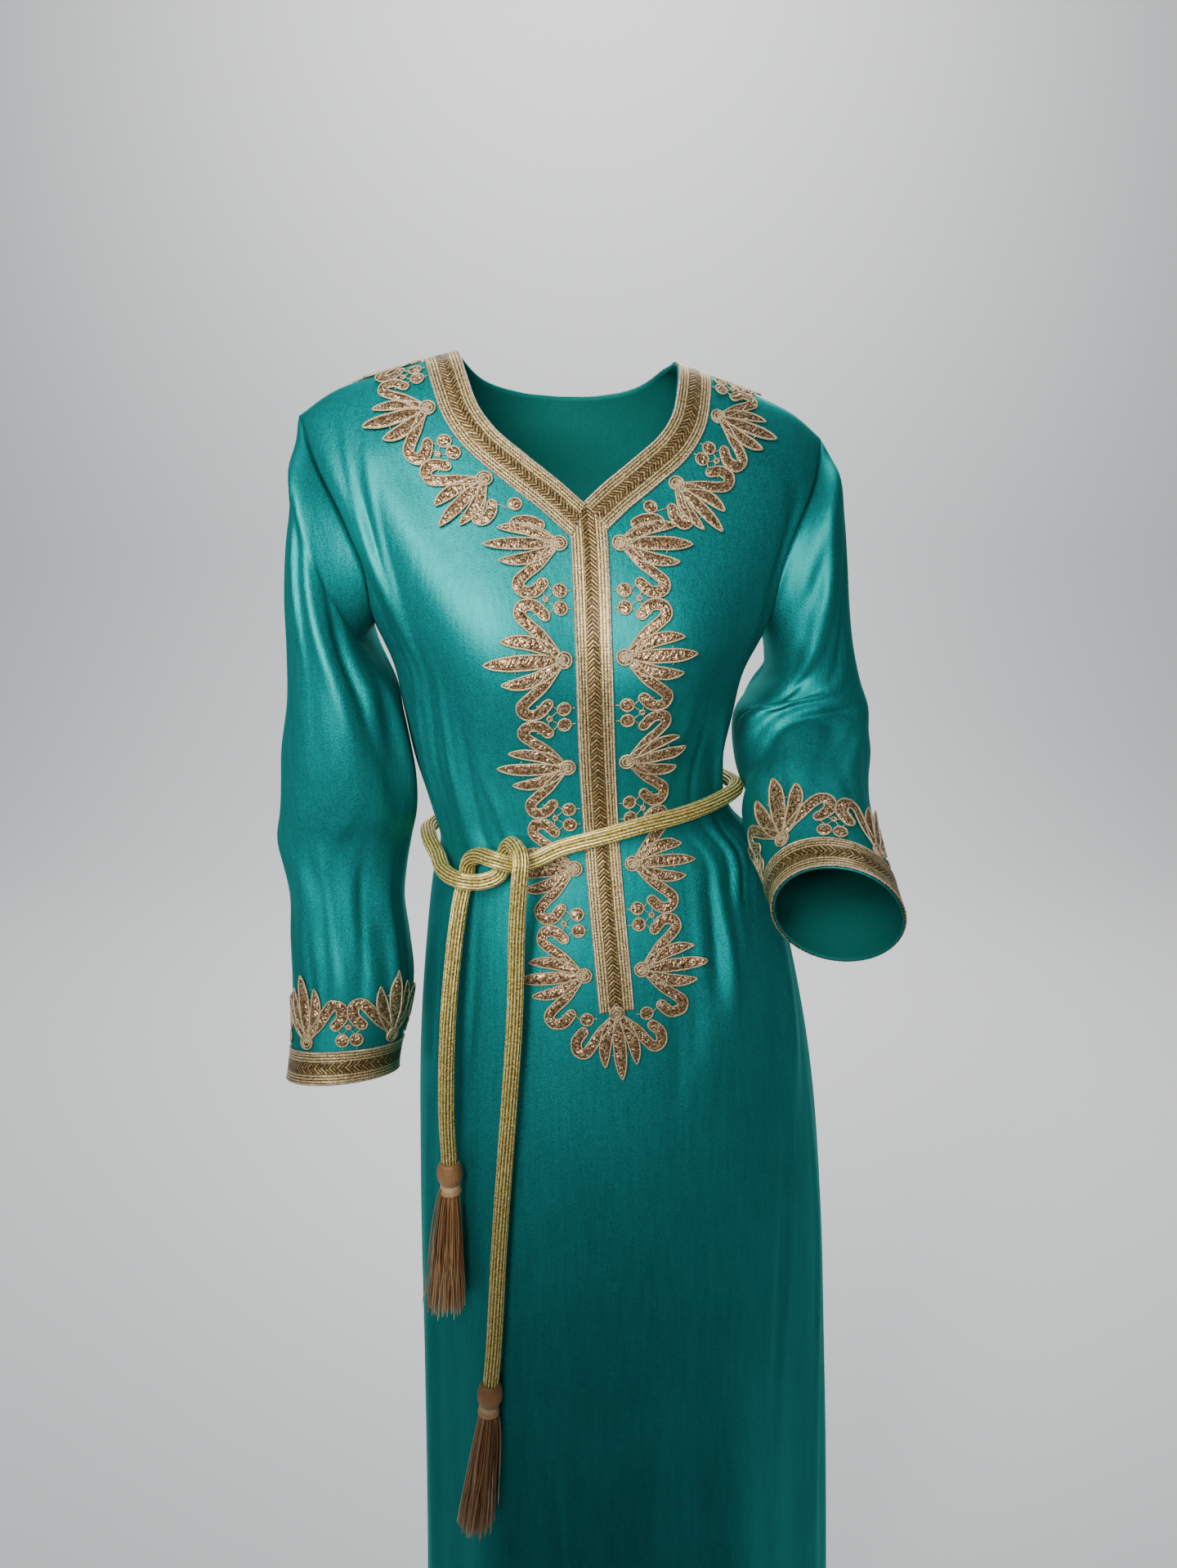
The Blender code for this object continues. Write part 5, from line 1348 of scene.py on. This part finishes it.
# %% [markdown]
# ## The braids
#
# A braid is a flat grid, across and along, with the relief of its stitches as height: columns
# of chain stitches, a herringbone between them, and a cord at both edges. At the V the neck's
# braids are cut slantwise, from the notch to where their outer edges cross the front braid's,
# and the front braid ends in a point that fits between the two cuts.

# %% Braid relief
BRAID_LIFT = 0.0004  # between the cloth and a braid
BRAID_BASE = 0.0011  # thickness in the grooves
BRAID_CELL = 0.0011  # along
BRAID_ACROSS = 46  # cells
COLUMN_RISE = 0.00045  # heights over the grooves: of a column, and of a stitch in it
CHAIN_RISE = 0.0003
MIDDLE_RISE = 0.0003  # of the herringbone's ground and of its ridges
BONE_RISE = 0.0007
CORD_RISE = 0.0009


def zigzag(value):
    """The same zigzag as a shader value's: 0.5 at each whole number, 0 half way between."""
    return np.abs(value % 1 - 0.5)


def braid_relief(across, along):
    """Height of a braid: the root of a sine for each column, V-shaped ridges in the middle, round edges."""
    aside = np.abs(across)
    column = np.abs(np.sin(np.pi * (across / COLUMN + 0.5)))
    in_column = zigzag(across / COLUMN)
    chain = zigzag(along / STITCH + in_column * STITCH_LEAN)
    bone = zigzag(along / HERRINGBONE_PITCH - aside / BONE_REACH)
    cord = np.sqrt(np.clip(1 - ((aside - BRAID_HALF + EDGE_CORD / 2) / (EDGE_CORD / 2)) ** 2, 0, 1))
    middle = aside < HERRINGBONE_HALF
    edge = aside > BRAID_HALF - EDGE_CORD
    side = COLUMN_RISE * np.sqrt(column) + CHAIN_RISE * chain
    outer = np.where(edge, CORD_RISE * cord, side)
    return BRAID_BASE + np.where(middle, MIDDLE_RISE + BONE_RISE * bone, outer)


def braid_patch(starts, ends, low, high, closed=False):
    """A braid's flat surface: its top follows the relief, and its underside is one flat face a row."""
    across = np.linspace(low, high, BRAID_ACROSS + 1)
    from_middle = across - (low + high) / 2
    rows = int(round((ends(across).mean() - starts(across).mean()) / BRAID_CELL))
    share = np.arange(rows + (not closed))[:, None] / rows
    along = (1 - share) * starts(across) + share * ends(across)
    relief = braid_relief(np.broadcast_to(from_middle, along.shape), along)
    top = np.stack([along, np.broadcast_to(across, along.shape), BRAID_LIFT + relief], axis=-1)
    under = top[:, [-1, 0]] * (1, 1, 0) + (0, 0, BRAID_LIFT)
    grid = np.concatenate([top, under], axis=1)
    columns = grid.shape[1]
    quads = grid_faces(len(grid), columns, wrap_rows=closed, wrap_columns=True)
    down = np.append(share.ravel(), 1) if closed else share.ravel()
    uv = corner_values(np.concatenate([from_middle, [high, low, low]]), down)
    # The UV's second value is the true distance along, column by column
    begin = np.interp(uv[..., 0], from_middle, starts(across))
    finish = np.interp(uv[..., 0], from_middle, ends(across))
    uv[..., 1] = begin * (1 - uv[..., 1]) + finish * uv[..., 1]
    return Patch(grid, quads, uv, [] if closed else end_caps(len(grid), columns))


def straight_cut(value):
    """The end of a braid cut square: the same distance along everywhere across."""
    return lambda across: value + 0 * across


# %% Lines of the neck and the front
BRAID_WIDTH = 2 * BRAID_HALF
NECK_STEPS = np.linspace(0, 1, 60)
PLACKET = table("height x", [
    (-0.120, 0.0144), (-0.150, 0.0174), (-0.180, 0.0190), (-0.240, 0.0210), (-0.330, 0.0241),
    (-0.390, 0.0274), (-0.450, 0.0322), (-0.520, 0.0388), (-0.600, 0.0457),
])
PLACKET_STEPS = np.linspace(-0.123, -0.62, 120)  # heights, from the V to below the end
PLACKET_LENGTH = 0.432
MITRE_GAP = 0.0002
LEFT_LAP = 0.0020  # the left braid is sewn on first and runs on a little under the others
# Where the slant cuts are looked for, at every half millimetre
NECK_SEARCH = np.linspace(-0.03, 0.03, 121)
FRONT_SEARCH = np.linspace(0.005, 0.06, 111)


def neck_edge(rows, side, front):
    """A quarter of the neck edge, from its middle to the shoulder."""
    out = side * smooth(rows, "out", NECK_STEPS)
    return body_at(out, smooth(rows, "height", NECK_STEPS), front)


def neck_line():
    """The neck edge from the V up the left side, round the back and down the right side."""
    left = neck_edge(NECK_FRONT, -1, True)
    back_left = neck_edge(NECK_BACK, -1, False)[::-1]
    back_right = neck_edge(NECK_BACK, 1, False)
    right = neck_edge(NECK_FRONT, 1, True)[::-1]
    return np.concatenate([left, back_left[1:], back_right[1:], right[1:]])


def placket_line():
    """The middle of the front braid: its x, with the body's centre and turn taken out."""
    turn = np.radians(smooth(BODY, "turn", PLACKET_STEPS))
    aside = smooth(PLACKET, "x", PLACKET_STEPS) - smooth(BODY, "centre_x", PLACKET_STEPS)
    out = (aside - smooth(BODY, "front", PLACKET_STEPS) * np.sin(turn)) / np.cos(turn)
    return body_at(out, PLACKET_STEPS, True)


neck = Spine(neck_line(), body)
placket = Spine(placket_line(), body)
print(f"neck edge {neck.length:.3f} m, front line {placket.length:.3f} m")


# %% Neck and front braids
def build_braid(name, node, spine, patch, along_range, out_range):
    """A braid's patch, laid on the cloth in a range along a spine and out from it."""
    add_piece(name, node, laid([patch], Carpet(spine, along_range, out_range)), [gold_braid])


def crossing(neck_near, front_out):
    """Where the neck braid's outer edge meets an edge of the front braid: a distance along each.

    It is the pair of places on the two edges that lie closest.
    """
    neck_along = neck_near + NECK_SEARCH
    from_neck = neck.at(neck_along, BRAID_WIDTH)
    from_front = placket.at(FRONT_SEARCH, front_out)
    apart = np.linalg.norm(from_neck[:, None] - from_front[None, :], axis=-1)
    i, j = np.unravel_index(apart.argmin(), apart.shape)
    return neck_along[i], FRONT_SEARCH[j]


left_mitre, left_point = crossing(0.0, -BRAID_HALF)
right_mitre, right_point = crossing(neck.length, BRAID_HALF)
print(f"slant cuts: neck {left_mitre:.4f} and {right_mitre - neck.length:.4f},"
      f" front {left_point:.4f} and {right_point:.4f}")


def neck_start(across):
    """The neck braid's first cut, a distance along its line for each place across."""
    return left_mitre * across / BRAID_WIDTH - LEFT_LAP


def neck_end(across):
    """Its last cut, at the other side of the V."""
    return neck.length - MITRE_GAP + (right_mitre - neck.length) * across / BRAID_WIDTH


def front_start(across):
    """The front braid's point, between the two cuts."""
    return MITRE_GAP + np.abs(across) / BRAID_HALF * np.where(across < 0, left_point, right_point)


build_braid("neck_gold", "neck_braid", neck,
            braid_patch(neck_start, neck_end, 0, BRAID_WIDTH),
            (-BRAID_WIDTH, neck.length + BRAID_WIDTH), (0, BRAID_WIDTH))
build_braid("front_gold", "placket_braid", placket,
            braid_patch(front_start, straight_cut(PLACKET_LENGTH), -BRAID_HALF, BRAID_HALF),
            (0, PLACKET_LENGTH), (-BRAID_HALF, BRAID_HALF))

# %% [markdown]
# ## The cuffs' braids
#
# The same braid runs once round the end of each sleeve. Its line is the edge's own ring of
# points, with a few to spare at both ends so that the start and the finish of the ring lie
# on exactly the same cloth.

# %% Cuff braids
CUFF_EDGE = 0.0005  # from the end of the sleeve up to its braid
CUFF_SPARE = 24  # points of a cuff's line past one whole turn
CUFF_ROWS = 13  # rows of the sleeve whose run gives the direction up from the cuff
SIDES = {"left": -1, "right": 1}


def once_round(ring, middle):
    """Points once round a closed ring and a little more, centred on an angle in degrees."""
    count = len(ring)
    last = count + CUFF_SPARE - 1
    place = middle / 360 * count + np.arange(last + 1) - last / 2
    low = np.floor(place).astype(int)
    share = (place - low)[:, None]
    return ring[low % count] * (1 - share) + ring[(low + 1) % count] * share


sleeves = {}
for side, grid in (("left", left_grid), ("right", right_grid)):
    cloth = Cloth("sleeve_" + side)
    up = unit(grid[-1 - CUFF_ROWS] - grid[-1])
    spine = Spine(once_round(grid[-1] + up * CUFF_EDGE, 0), cloth, -SIDES[side])
    first = CUFF_SPARE // 2 - 1
    start = spine.along[first]
    turn = spine.along[first + RING] - start
    patch = braid_patch(straight_cut(start), straight_cut(start + turn), 0, BRAID_WIDTH, closed=True)
    build_braid(f"cuff_gold_{side}", f"cuff_braid_{side}", spine, patch,
                (0, spine.length), (0, BRAID_WIDTH))
    sleeves[side] = (grid, cloth, up)
    print(f"{side} cuff: {turn:.3f} m round")

# %% [markdown]
# ## The lace's shapes
#
# One repeat of the lace is a palmette: a ringed hub beside the braid, three petals, and a stem
# on each side that curls back into a scroll. Discs, small bars and a tiny disc link it to the
# next repeat. Every shape is drawn as a line with a half width: its fill is a crowned strip
# of small flat facets, and its outline is a thin round cord.

# %% Strips and cords
LACE_BASE = 0.0004
FILL_HEIGHT = 0.0011
FILL_FACET = 0.0013
FILL_ACROSS = 7
FULL_CROWN = 0.003  # a fill at least this wide to each side has its full height
GLINT = 0.00022  # how unevenly the sequins lie
EVEN_BELOW = 0.1  # a place with less of the crown than this stays even
CORD_RADIUS = 0.00078
CORD_STEP = 0.0016
CORD_SIDES = 6
BAR_RADIUS = 0.0004
THINNEST = 0.0002  # half width of a fill at its tips
DISC_CUTS = 11  # places along a disc's diameter
RING_POINTS = 24
random_lace = np.random.default_rng(11)  # one row of draws for all the fills, in their order


def aside_of(line):
    """The direction to the right of a flat line at each of its points."""
    ahead = unit(np.gradient(line, axis=0))
    return np.stack([ahead[:, 1], -ahead[:, 0]], axis=1)


def fill(line, half_width):
    """A crowned strip: half an ellipse across at each place, its points a little uneven."""
    cross = np.linspace(-1, 1, FILL_ACROSS)
    aside = aside_of(line) * half_width[:, None]
    flat = line[:, None] + aside[:, None] * cross[:, None]
    crown = np.sqrt(1 - cross**2)[None, :] * np.minimum(half_width / FULL_CROWN, 1)[:, None]
    uneven = random_lace.normal(0, GLINT, crown.shape) * (crown > EVEN_BELOW)
    height = LACE_BASE + np.maximum(FILL_HEIGHT * crown + uneven, 0)
    points = np.concatenate([flat, height[..., None]], axis=-1)
    return closed_patch(points, np.zeros(FILL_ACROSS + 1), np.zeros(len(line)), smooth=False)


def cord(line, radius=CORD_RADIUS, closed=True, lift=0.0):
    """A round cord on a flat line: a circle standing across the line at each place."""
    if closed:
        ring = evenly(np.concatenate([line, line[:1]]), CORD_STEP)[:-1]
        wide = np.concatenate([ring[-1:], ring, ring[:1]])
        aside = aside_of(wide)[1:-1]
    else:
        ring = evenly(line, CORD_STEP)
        aside = aside_of(ring)
    turn = 2 * np.pi * np.arange(CORD_SIDES) / CORD_SIDES
    flat = ring[:, None] + radius * np.cos(turn)[:, None] * aside[:, None]
    height = LACE_BASE + lift + radius * (1 + np.sin(turn))
    height = np.broadcast_to(height[:, None], (len(ring), CORD_SIDES, 1))
    points = np.concatenate([flat, height], axis=-1)
    along = np.arange(len(ring) + closed) * CORD_STEP
    return closed_patch(points, np.arange(CORD_SIDES + 1) / CORD_SIDES, along, ring=closed, finish=1)


def outlined(line, half_width):
    """A shape's fill, in facets of one length, and the cord along its edge."""
    along = distances(line)
    count = max(int(round(along[-1] / FILL_FACET)), 3)
    places = np.linspace(0, 1, count + 1)
    old = along / along[-1]
    fine = np.stack([np.interp(places, old, column) for column in line.T], axis=1)
    width = np.interp(places, old, half_width)
    aside = aside_of(line) * half_width[:, None]
    edge = np.concatenate([line + aside, (line - aside)[::-1]])
    return [fill(fine, np.maximum(width, THINNEST)), cord(edge)]


def disc(centre, radius, rings=()):
    """A round shape: a strip along its diameter whose half width follows a circle, and its cords."""
    half_turn = np.linspace(-np.pi / 2, np.pi / 2, DISC_CUTS)
    line = np.array(centre) + np.stack([radius * np.sin(half_turn), 0 * half_turn], axis=1)
    patches = outlined(line, radius * np.cos(half_turn) + 1e-5)
    turn = 2 * np.pi * np.arange(RING_POINTS) / RING_POINTS
    for share, lift in rings:
        ring = np.array(centre) + share * radius * np.stack([np.cos(turn), np.sin(turn)], axis=1)
        patches.append(cord(ring, lift=lift))
    return patches


def bar(start, end):
    """A thin straight cord between two places, in a list for adding to others."""
    return [cord(np.array([start, end], float), BAR_RADIUS, closed=False)]


# %% A palmette
HUB = np.array([0.0, 0.092])  # shares of the repeat's length, and of the lace's depth
HUB_RADIUS = 0.0062
HUB_RINGS = [(0.98, 0.0008), (0.62, 0.0007)]  # each ring's share of the radius, and its height
PETALS = table("degrees reach half_width", [
    (-19, 0.55, 0.046), (0, 0.66, 0.050), (19, 0.55, 0.046),
])
# Along a petal, and its half width as a share of its widest
PETAL_WIDTH = table("along share", [
    (0.0, 0.30), (0.12, 0.50), (0.25, 0.80), (0.4, 0.97), (0.55, 1.0), (0.72, 0.94), (0.85, 0.70),
    (0.94, 0.38), (1.0, 0.04),
])
PETAL_CUTS = 22  # places along a petal
PETAL_FULL = 1.14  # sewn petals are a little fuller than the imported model's strips
PETAL_TIP = 0.9  # share of its angle that a side petal is turned out by at its tip
PETAL_BOW = 1.15  # and how much more at the hub
SCROLL = table("along out half_width", [
    (0.045, 0.150, 0.034), (0.190, 0.278, 0.044), (0.290, 0.400, 0.045), (0.362, 0.463, 0.047),
    (0.437, 0.430, 0.048), (0.438, 0.330, 0.048), (0.360, 0.250, 0.046),
])
SCROLL_CUTS = 5  # places from each of these to the next
TIP_TURNS = (25, 50, 70, 86)  # degrees of the quarter circle that rounds its end
# Numbers of the points of a scroll's line that bars end on
STEM_POINT = 14
CURL_POINTS = (-6, -5)
TIP_POINT = -4
DISC_ALONG = 0.4235
DISC_OUT = 0.105
DISC_RADIUS = 0.0054
LINK = (0.5, 0.235)  # the tiny disc between two repeats
LINK_RADIUS = 0.0021
LINK_FOOT = 0.04  # how far out from a disc's middle the link's bar ends
STEM_BAR = 0.42  # how far a scroll's inner bar ends from its curl, as a share of the way to its stem
# Bars between two linked repeats: half their length, and how far out they lie
LINK_BARS = [(0.03, 0.355), (0.03, 0.40), (0.04, DISC_OUT)]
# Tiny bars across the slits between the petals: their angles, how far out, and half a length
SLIT_TURNS = (-9.5, 9.5)
SLIT_REACHES = (0.30, 0.42)
SLIT_HALF = 0.0016
FRONT_REPEAT = (0.0908, 0.0900)  # the front lace's length of a repeat, and its depth
# How a repeat ends on one side: how far its scroll is pressed towards the hub, whether it has
# a disc, and whether it is linked to the next repeat
ENDINGS = {
    "linked": (1.0, True, True),
    "free": (1.0, True, False),
    "plain": (1.0, False, False),
    "pressed": (0.7, True, False),
    "corner": (0.5, False, False),
}


def petal(degrees, reach, half_width, size):
    """A pointed leaf from the hub, bowed a little away from the middle one."""
    along = np.linspace(0, 1, PETAL_CUTS)
    turn = np.radians(degrees) * (PETAL_TIP + PETAL_BOW * (1 - along))
    ahead = np.stack([np.sin(turn), np.cos(turn)], axis=1)
    line = (HUB + ahead * reach * along[:, None]) * size
    width = smooth(PETAL_WIDTH, "share", along) * half_width * PETAL_FULL * size[1]
    return outlined(line, width)


def scroll_line(side, squeeze, size):
    """The stem's middle line and half width, with a half circle added at its end."""
    flat = np.stack([SCROLL["along"] * side * squeeze, SCROLL["out"]], axis=1) * size
    line = line_through(flat, SCROLL_CUTS)
    width = line_through(SCROLL["half_width"][:, None], SCROLL_CUTS)[:, 0] * size[1]
    ahead = unit(line[-1] - line[-2])
    turn = np.radians(TIP_TURNS)
    tip = line[-1] + ahead * (width[-1] * np.sin(turn))[:, None]
    return np.concatenate([line, tip]), np.concatenate([width, width[-1] * np.cos(turn)])


def palmette(before, after, size):
    """The flat patches of one repeat, in metres along the braid and out from it."""
    size = np.array(size)
    patches = []
    for row in zip(*PETALS.values()):
        patches += petal(*row, size)
    for side, ending in ((-1, before), (1, after)):
        squeeze, has_disc, linked = ENDINGS[ending]
        line, width = scroll_line(side, squeeze, size)
        curl, curl_end = line[list(CURL_POINTS)]
        patches += outlined(line, width)
        patches += bar(curl_end, curl * (1 - STEM_BAR) + line[STEM_POINT] * STEM_BAR)
        if has_disc:
            centre = np.array([DISC_ALONG * side, DISC_OUT]) * size
            patches += disc(centre, DISC_RADIUS)
            patches += bar(centre + (0, DISC_RADIUS), line[TIP_POINT])
            patches += bar(centre - (0, DISC_RADIUS), centre - (0, DISC_OUT * size[1]))
        if linked:
            middle = np.array([LINK[0] * side, LINK[1]]) * size
            patches += bar(middle, np.array([DISC_ALONG * side, DISC_OUT + LINK_FOOT]) * size)
            patches += bar(middle, curl)
    if ENDINGS[after][2]:
        patches += disc(np.array(LINK) * size, LINK_RADIUS)
        for half, out in LINK_BARS:
            patches += bar(np.array([0.5 - half, out]) * size, np.array([0.5 + half, out]) * size)
    for turn in np.radians(SLIT_TURNS):
        for reach in SLIT_REACHES:
            spot = (HUB + reach * np.array([np.sin(turn), np.cos(turn)])) * size
            patches += bar(spot - (SLIT_HALF, 0), spot + (SLIT_HALF, 0))
    patches += disc(HUB * size, HUB_RADIUS, rings=HUB_RINGS)
    return patches


sample = palmette("linked", "linked", FRONT_REPEAT)
print("triangles in a repeat:", 2 * sum(len(patch.quads) for patch in sample))

# %% [markdown]
# ## The lace strips
#
# Real lace is stiffer than satin: its petals' tips stand up off the cloth by a millimetre or
# three, each a little differently, and throw soft shadows. The repeats' heights are chosen
# strip by strip, low where the rope crosses over them.

# %% Lace strips
LACE_DEPTH = FRONT_REPEAT[1]
LACE_START = 0.001  # from the braid's edge
LACE_REACH = 0.076  # how far out a strip's carpet goes
LACE_MARGIN = 0.002  # and how far in, past the braid's edge
LIFT_REACH = 0.76  # share of the depth at which a lift is whole
OVER_BRAID = 0.0021  # the end palmette's hub is sewn over the end of the braid
OVER_STEP = 0.003  # and comes down to the cloth over this distance
END_OUT = -0.008  # where its foot lies, inside the braid's end
# How each repeat of a strip ends on its two sides, and how far its tips are lifted, in mm
PLACKET_SIDES = [("corner", "linked")] + [("linked", "linked")] * 3 + [("linked", "free")]
PLACKET_FIRST_HUB = 0.035
PLACKET_LIFTS = {"left": (3.0, 2.0, 2.4, 0.3, 1.8), "right": (2.2, 2.8, 1.8, 0.4, 2.4)}
END_LACE_PITCH = 0.082
END_HALF = 0.05
NECK_SIDES = [("pressed", "linked"), ("linked", "linked"), ("linked", "free")]
NECK_FIRST_HUB = 0.069
NECK_LACE_PITCH = 0.076
NECK_LACE_DEPTH = 0.082
NECK_LIFTS = (2.0, 2.6, 1.5)
CUFF_SIDES = [("free", "linked"), ("linked", "linked"), ("linked", "linked"), ("linked", "free")]
CUFF_CLOSE = 0.985  # the strip's two ends stay a little apart
CUFF_HUBS = {"left": 61, "right": 53}  # degrees round the cuff to one hub
CUFF_LIFTS = (1.6, 2.4, 1.8, 2.2)


def shifted(patch, along, out, flip, lift, size):
    """A repeat's patch moved to its place, its tips lifted by a square law, its foot over a braid.

    The lift is in millimetres. A strip that starts inside its line lies over a braid there.
    """
    points = patch.points.copy()
    rise = np.clip(points[:, 1] / (LIFT_REACH * size[1]), 0, 1) ** 2
    points[:, 2] += lift / 1000 * rise
    over = np.clip(-(points[:, 1] + out - OVER_STEP) / OVER_STEP, 0, 1) if flip * out < 0 else 0
    points[:, 2] += OVER_BRAID * over
    points[:, 0] += along
    points[:, 1] = out + flip * points[:, 1]
    return patch.moved(points) if flip > 0 else patch.moved(points).turned()


def build_lace(name, node, spine, first, size, sides, lifts, start_out=0.0, flip=1):
    """A strip: one palmette for each pair of endings, laid on the cloth beside its braid."""
    pitch = size[0]
    patches = []
    for number, ((before, after), lift) in enumerate(zip(sides, lifts)):
        for patch in palmette(before, after, size):
            patches.append(shifted(patch, first + number * pitch, start_out, flip, lift, size))
    # The carpet reaches a little past half a pitch from the first and from the last hub
    along = (first - 0.55 * pitch, first + (len(sides) - 0.45) * pitch)
    out = sorted([start_out - flip * LACE_MARGIN, start_out + flip * LACE_REACH])
    add_piece(name, node, laid(patches, Carpet(spine, along, out)), [sequins, outline_gold])


def neck_lace_line(side):
    """The braid's outer edge, from the V to the nape."""
    along = NECK_STEPS / 2 * neck.length
    if side == "right":
        along = neck.length - along
    return neck.at(along, BRAID_WIDTH + LACE_START)


# %% Front and neck lace
for side, flip in SIDES.items():
    edge = flip * (BRAID_HALF + LACE_START)
    build_lace(f"front_lace_{side}", f"placket_lace_{side}", placket, PLACKET_FIRST_HUB,
               FRONT_REPEAT, PLACKET_SIDES, PLACKET_LIFTS[side], edge, flip)
    line = Spine(neck_lace_line(side), body, -flip)
    build_lace(f"collar_lace_{side}", f"neck_lace_{side}", line, NECK_FIRST_HUB,
               (NECK_LACE_PITCH, NECK_LACE_DEPTH), NECK_SIDES, NECK_LIFTS)
end_points = placket.at(PLACKET_LENGTH + LACE_START, np.linspace(-END_HALF, END_HALF, 41))
end_spine = Spine(end_points, body, -1)
build_lace("end_lace", "placket_lace_end", end_spine, end_spine.length / 2,
           (END_LACE_PITCH, LACE_DEPTH), [("plain", "plain")], (2.0,), END_OUT)

# %% Cuff lace
for side, (grid, cloth, up) in sleeves.items():
    ring = grid[-1] + up * (BRAID_WIDTH + LACE_START)
    middle = CUFF_HUBS[side] + 180 / len(CUFF_SIDES)
    spine = Spine(once_round(ring, middle), cloth, -SIDES[side])
    pitch = spine.length / (RING + CUFF_SPARE - 1) * RING / len(CUFF_SIDES)
    first = spine.length / 2 - (len(CUFF_SIDES) - 1) / 2 * pitch
    build_lace(f"wrist_lace_{side}", f"cuff_lace_{side}", spine, first,
               (pitch * CUFF_CLOSE, LACE_DEPTH), CUFF_SIDES, CUFF_LIFTS)

# %% [markdown]
# ## Floor, backdrop and light
#
# The stage is one pale sheet: a floor under the hem that bends up into a wall far behind, so
# that a view from any side still sees the dress. Three soft lights with narrow beams stand at
# the left and near the camera and aim at the chest and the waist, so that the light falls off
# down the skirt. One more lights the dress from behind, one the wall, and a dim pale sky fills
# the shadows.

# %% Stage
FLOOR_DROP = 0.012  # below the hem
STAGE_HALF = 5.0
WALL_BEHIND = 4.2
BEND = 1.2  # radius of the bend between floor and wall
BEND_CUTS = 16
WALL_TOP = 3.2
PAPER_COLOUR = (0.80, 0.81, 0.82, 1)

turn = np.linspace(0, np.pi / 2, BEND_CUTS)
floor_height = HEM - FLOOR_DROP
profile = np.concatenate([
    [(-STAGE_HALF, floor_height)],
    np.stack([WALL_BEHIND - BEND + BEND * np.sin(turn), floor_height + BEND - BEND * np.cos(turn)], axis=1),
    [(WALL_BEHIND, WALL_TOP)],
])
wide = np.array([-STAGE_HALF, STAGE_HALF])
stage_grid = np.stack([np.tile(wide, (len(profile), 1)),
                       np.repeat(profile[:, :1], 2, axis=1),
                       np.repeat(profile[:, 1:], 2, axis=1)], axis=-1)
stage_faces = grid_faces(len(profile), 2)[:, ::-1]
stage_mesh = bpy.data.meshes.new("studio")
stage_mesh.from_pydata(stage_grid.reshape(-1, 3).tolist(), [], stage_faces.tolist())
stage_mesh.shade_smooth()
studio = new_object("studio", stage_mesh)
paper = Finish("pale paper", Roughness=0.9, Base_Color=PAPER_COLOUR)
stage_mesh.materials.append(paper.material)
print("stage:", len(stage_mesh.polygons), "faces")


# %% Lights
SKY_COLOUR = (0.80, 0.84, 0.90, 1)
SKY_STRENGTH = 0.15


def soft_light(name, place, aim, size, power, beam=180):
    """A square area light at a place, turned towards its aim; a narrow beam is a cloth grid's."""
    lamp = bpy.data.lights.new(name, "AREA")
    lamp.shape = "SQUARE"
    lamp.size = size
    lamp.energy = power
    lamp.spread = np.radians(beam)
    light = new_object(name, lamp)
    light.location = place
    light.rotation_euler = (Vector(aim) - Vector(place)).to_track_quat("-Z", "Y").to_euler()


soft_light("key", (-0.55, -1.20, 0.50), (-0.14, 0, -0.24), 0.6, 3.0, 50)
soft_light("low key", (-0.60, -1.45, -0.04), (-0.10, 0, -0.24), 0.5, 1.4, 44)
soft_light("fill", (0.10, -1.50, 0.25), (0.04, 0, -0.18), 0.5, 1.0, 40)
soft_light("back", (0.6, 2.2, 1.5), (0, 0, -0.4), 1.4, 36)
soft_light("wall", (0, 1.6, 2.6), (0, 4.2, -0.3), 2.0, 165)
world = bpy.data.worlds.new("sky")
world.use_nodes = True
sky = world.node_tree.nodes["Background"]
sky.inputs["Color"].default_value = SKY_COLOUR
sky.inputs["Strength"].default_value = SKY_STRENGTH
bpy.context.scene.world = world
print("lights:", len(bpy.data.lights))

# %% [markdown]
# The dressed part must keep to the imported model's box.

# %% End
print("end of scene")
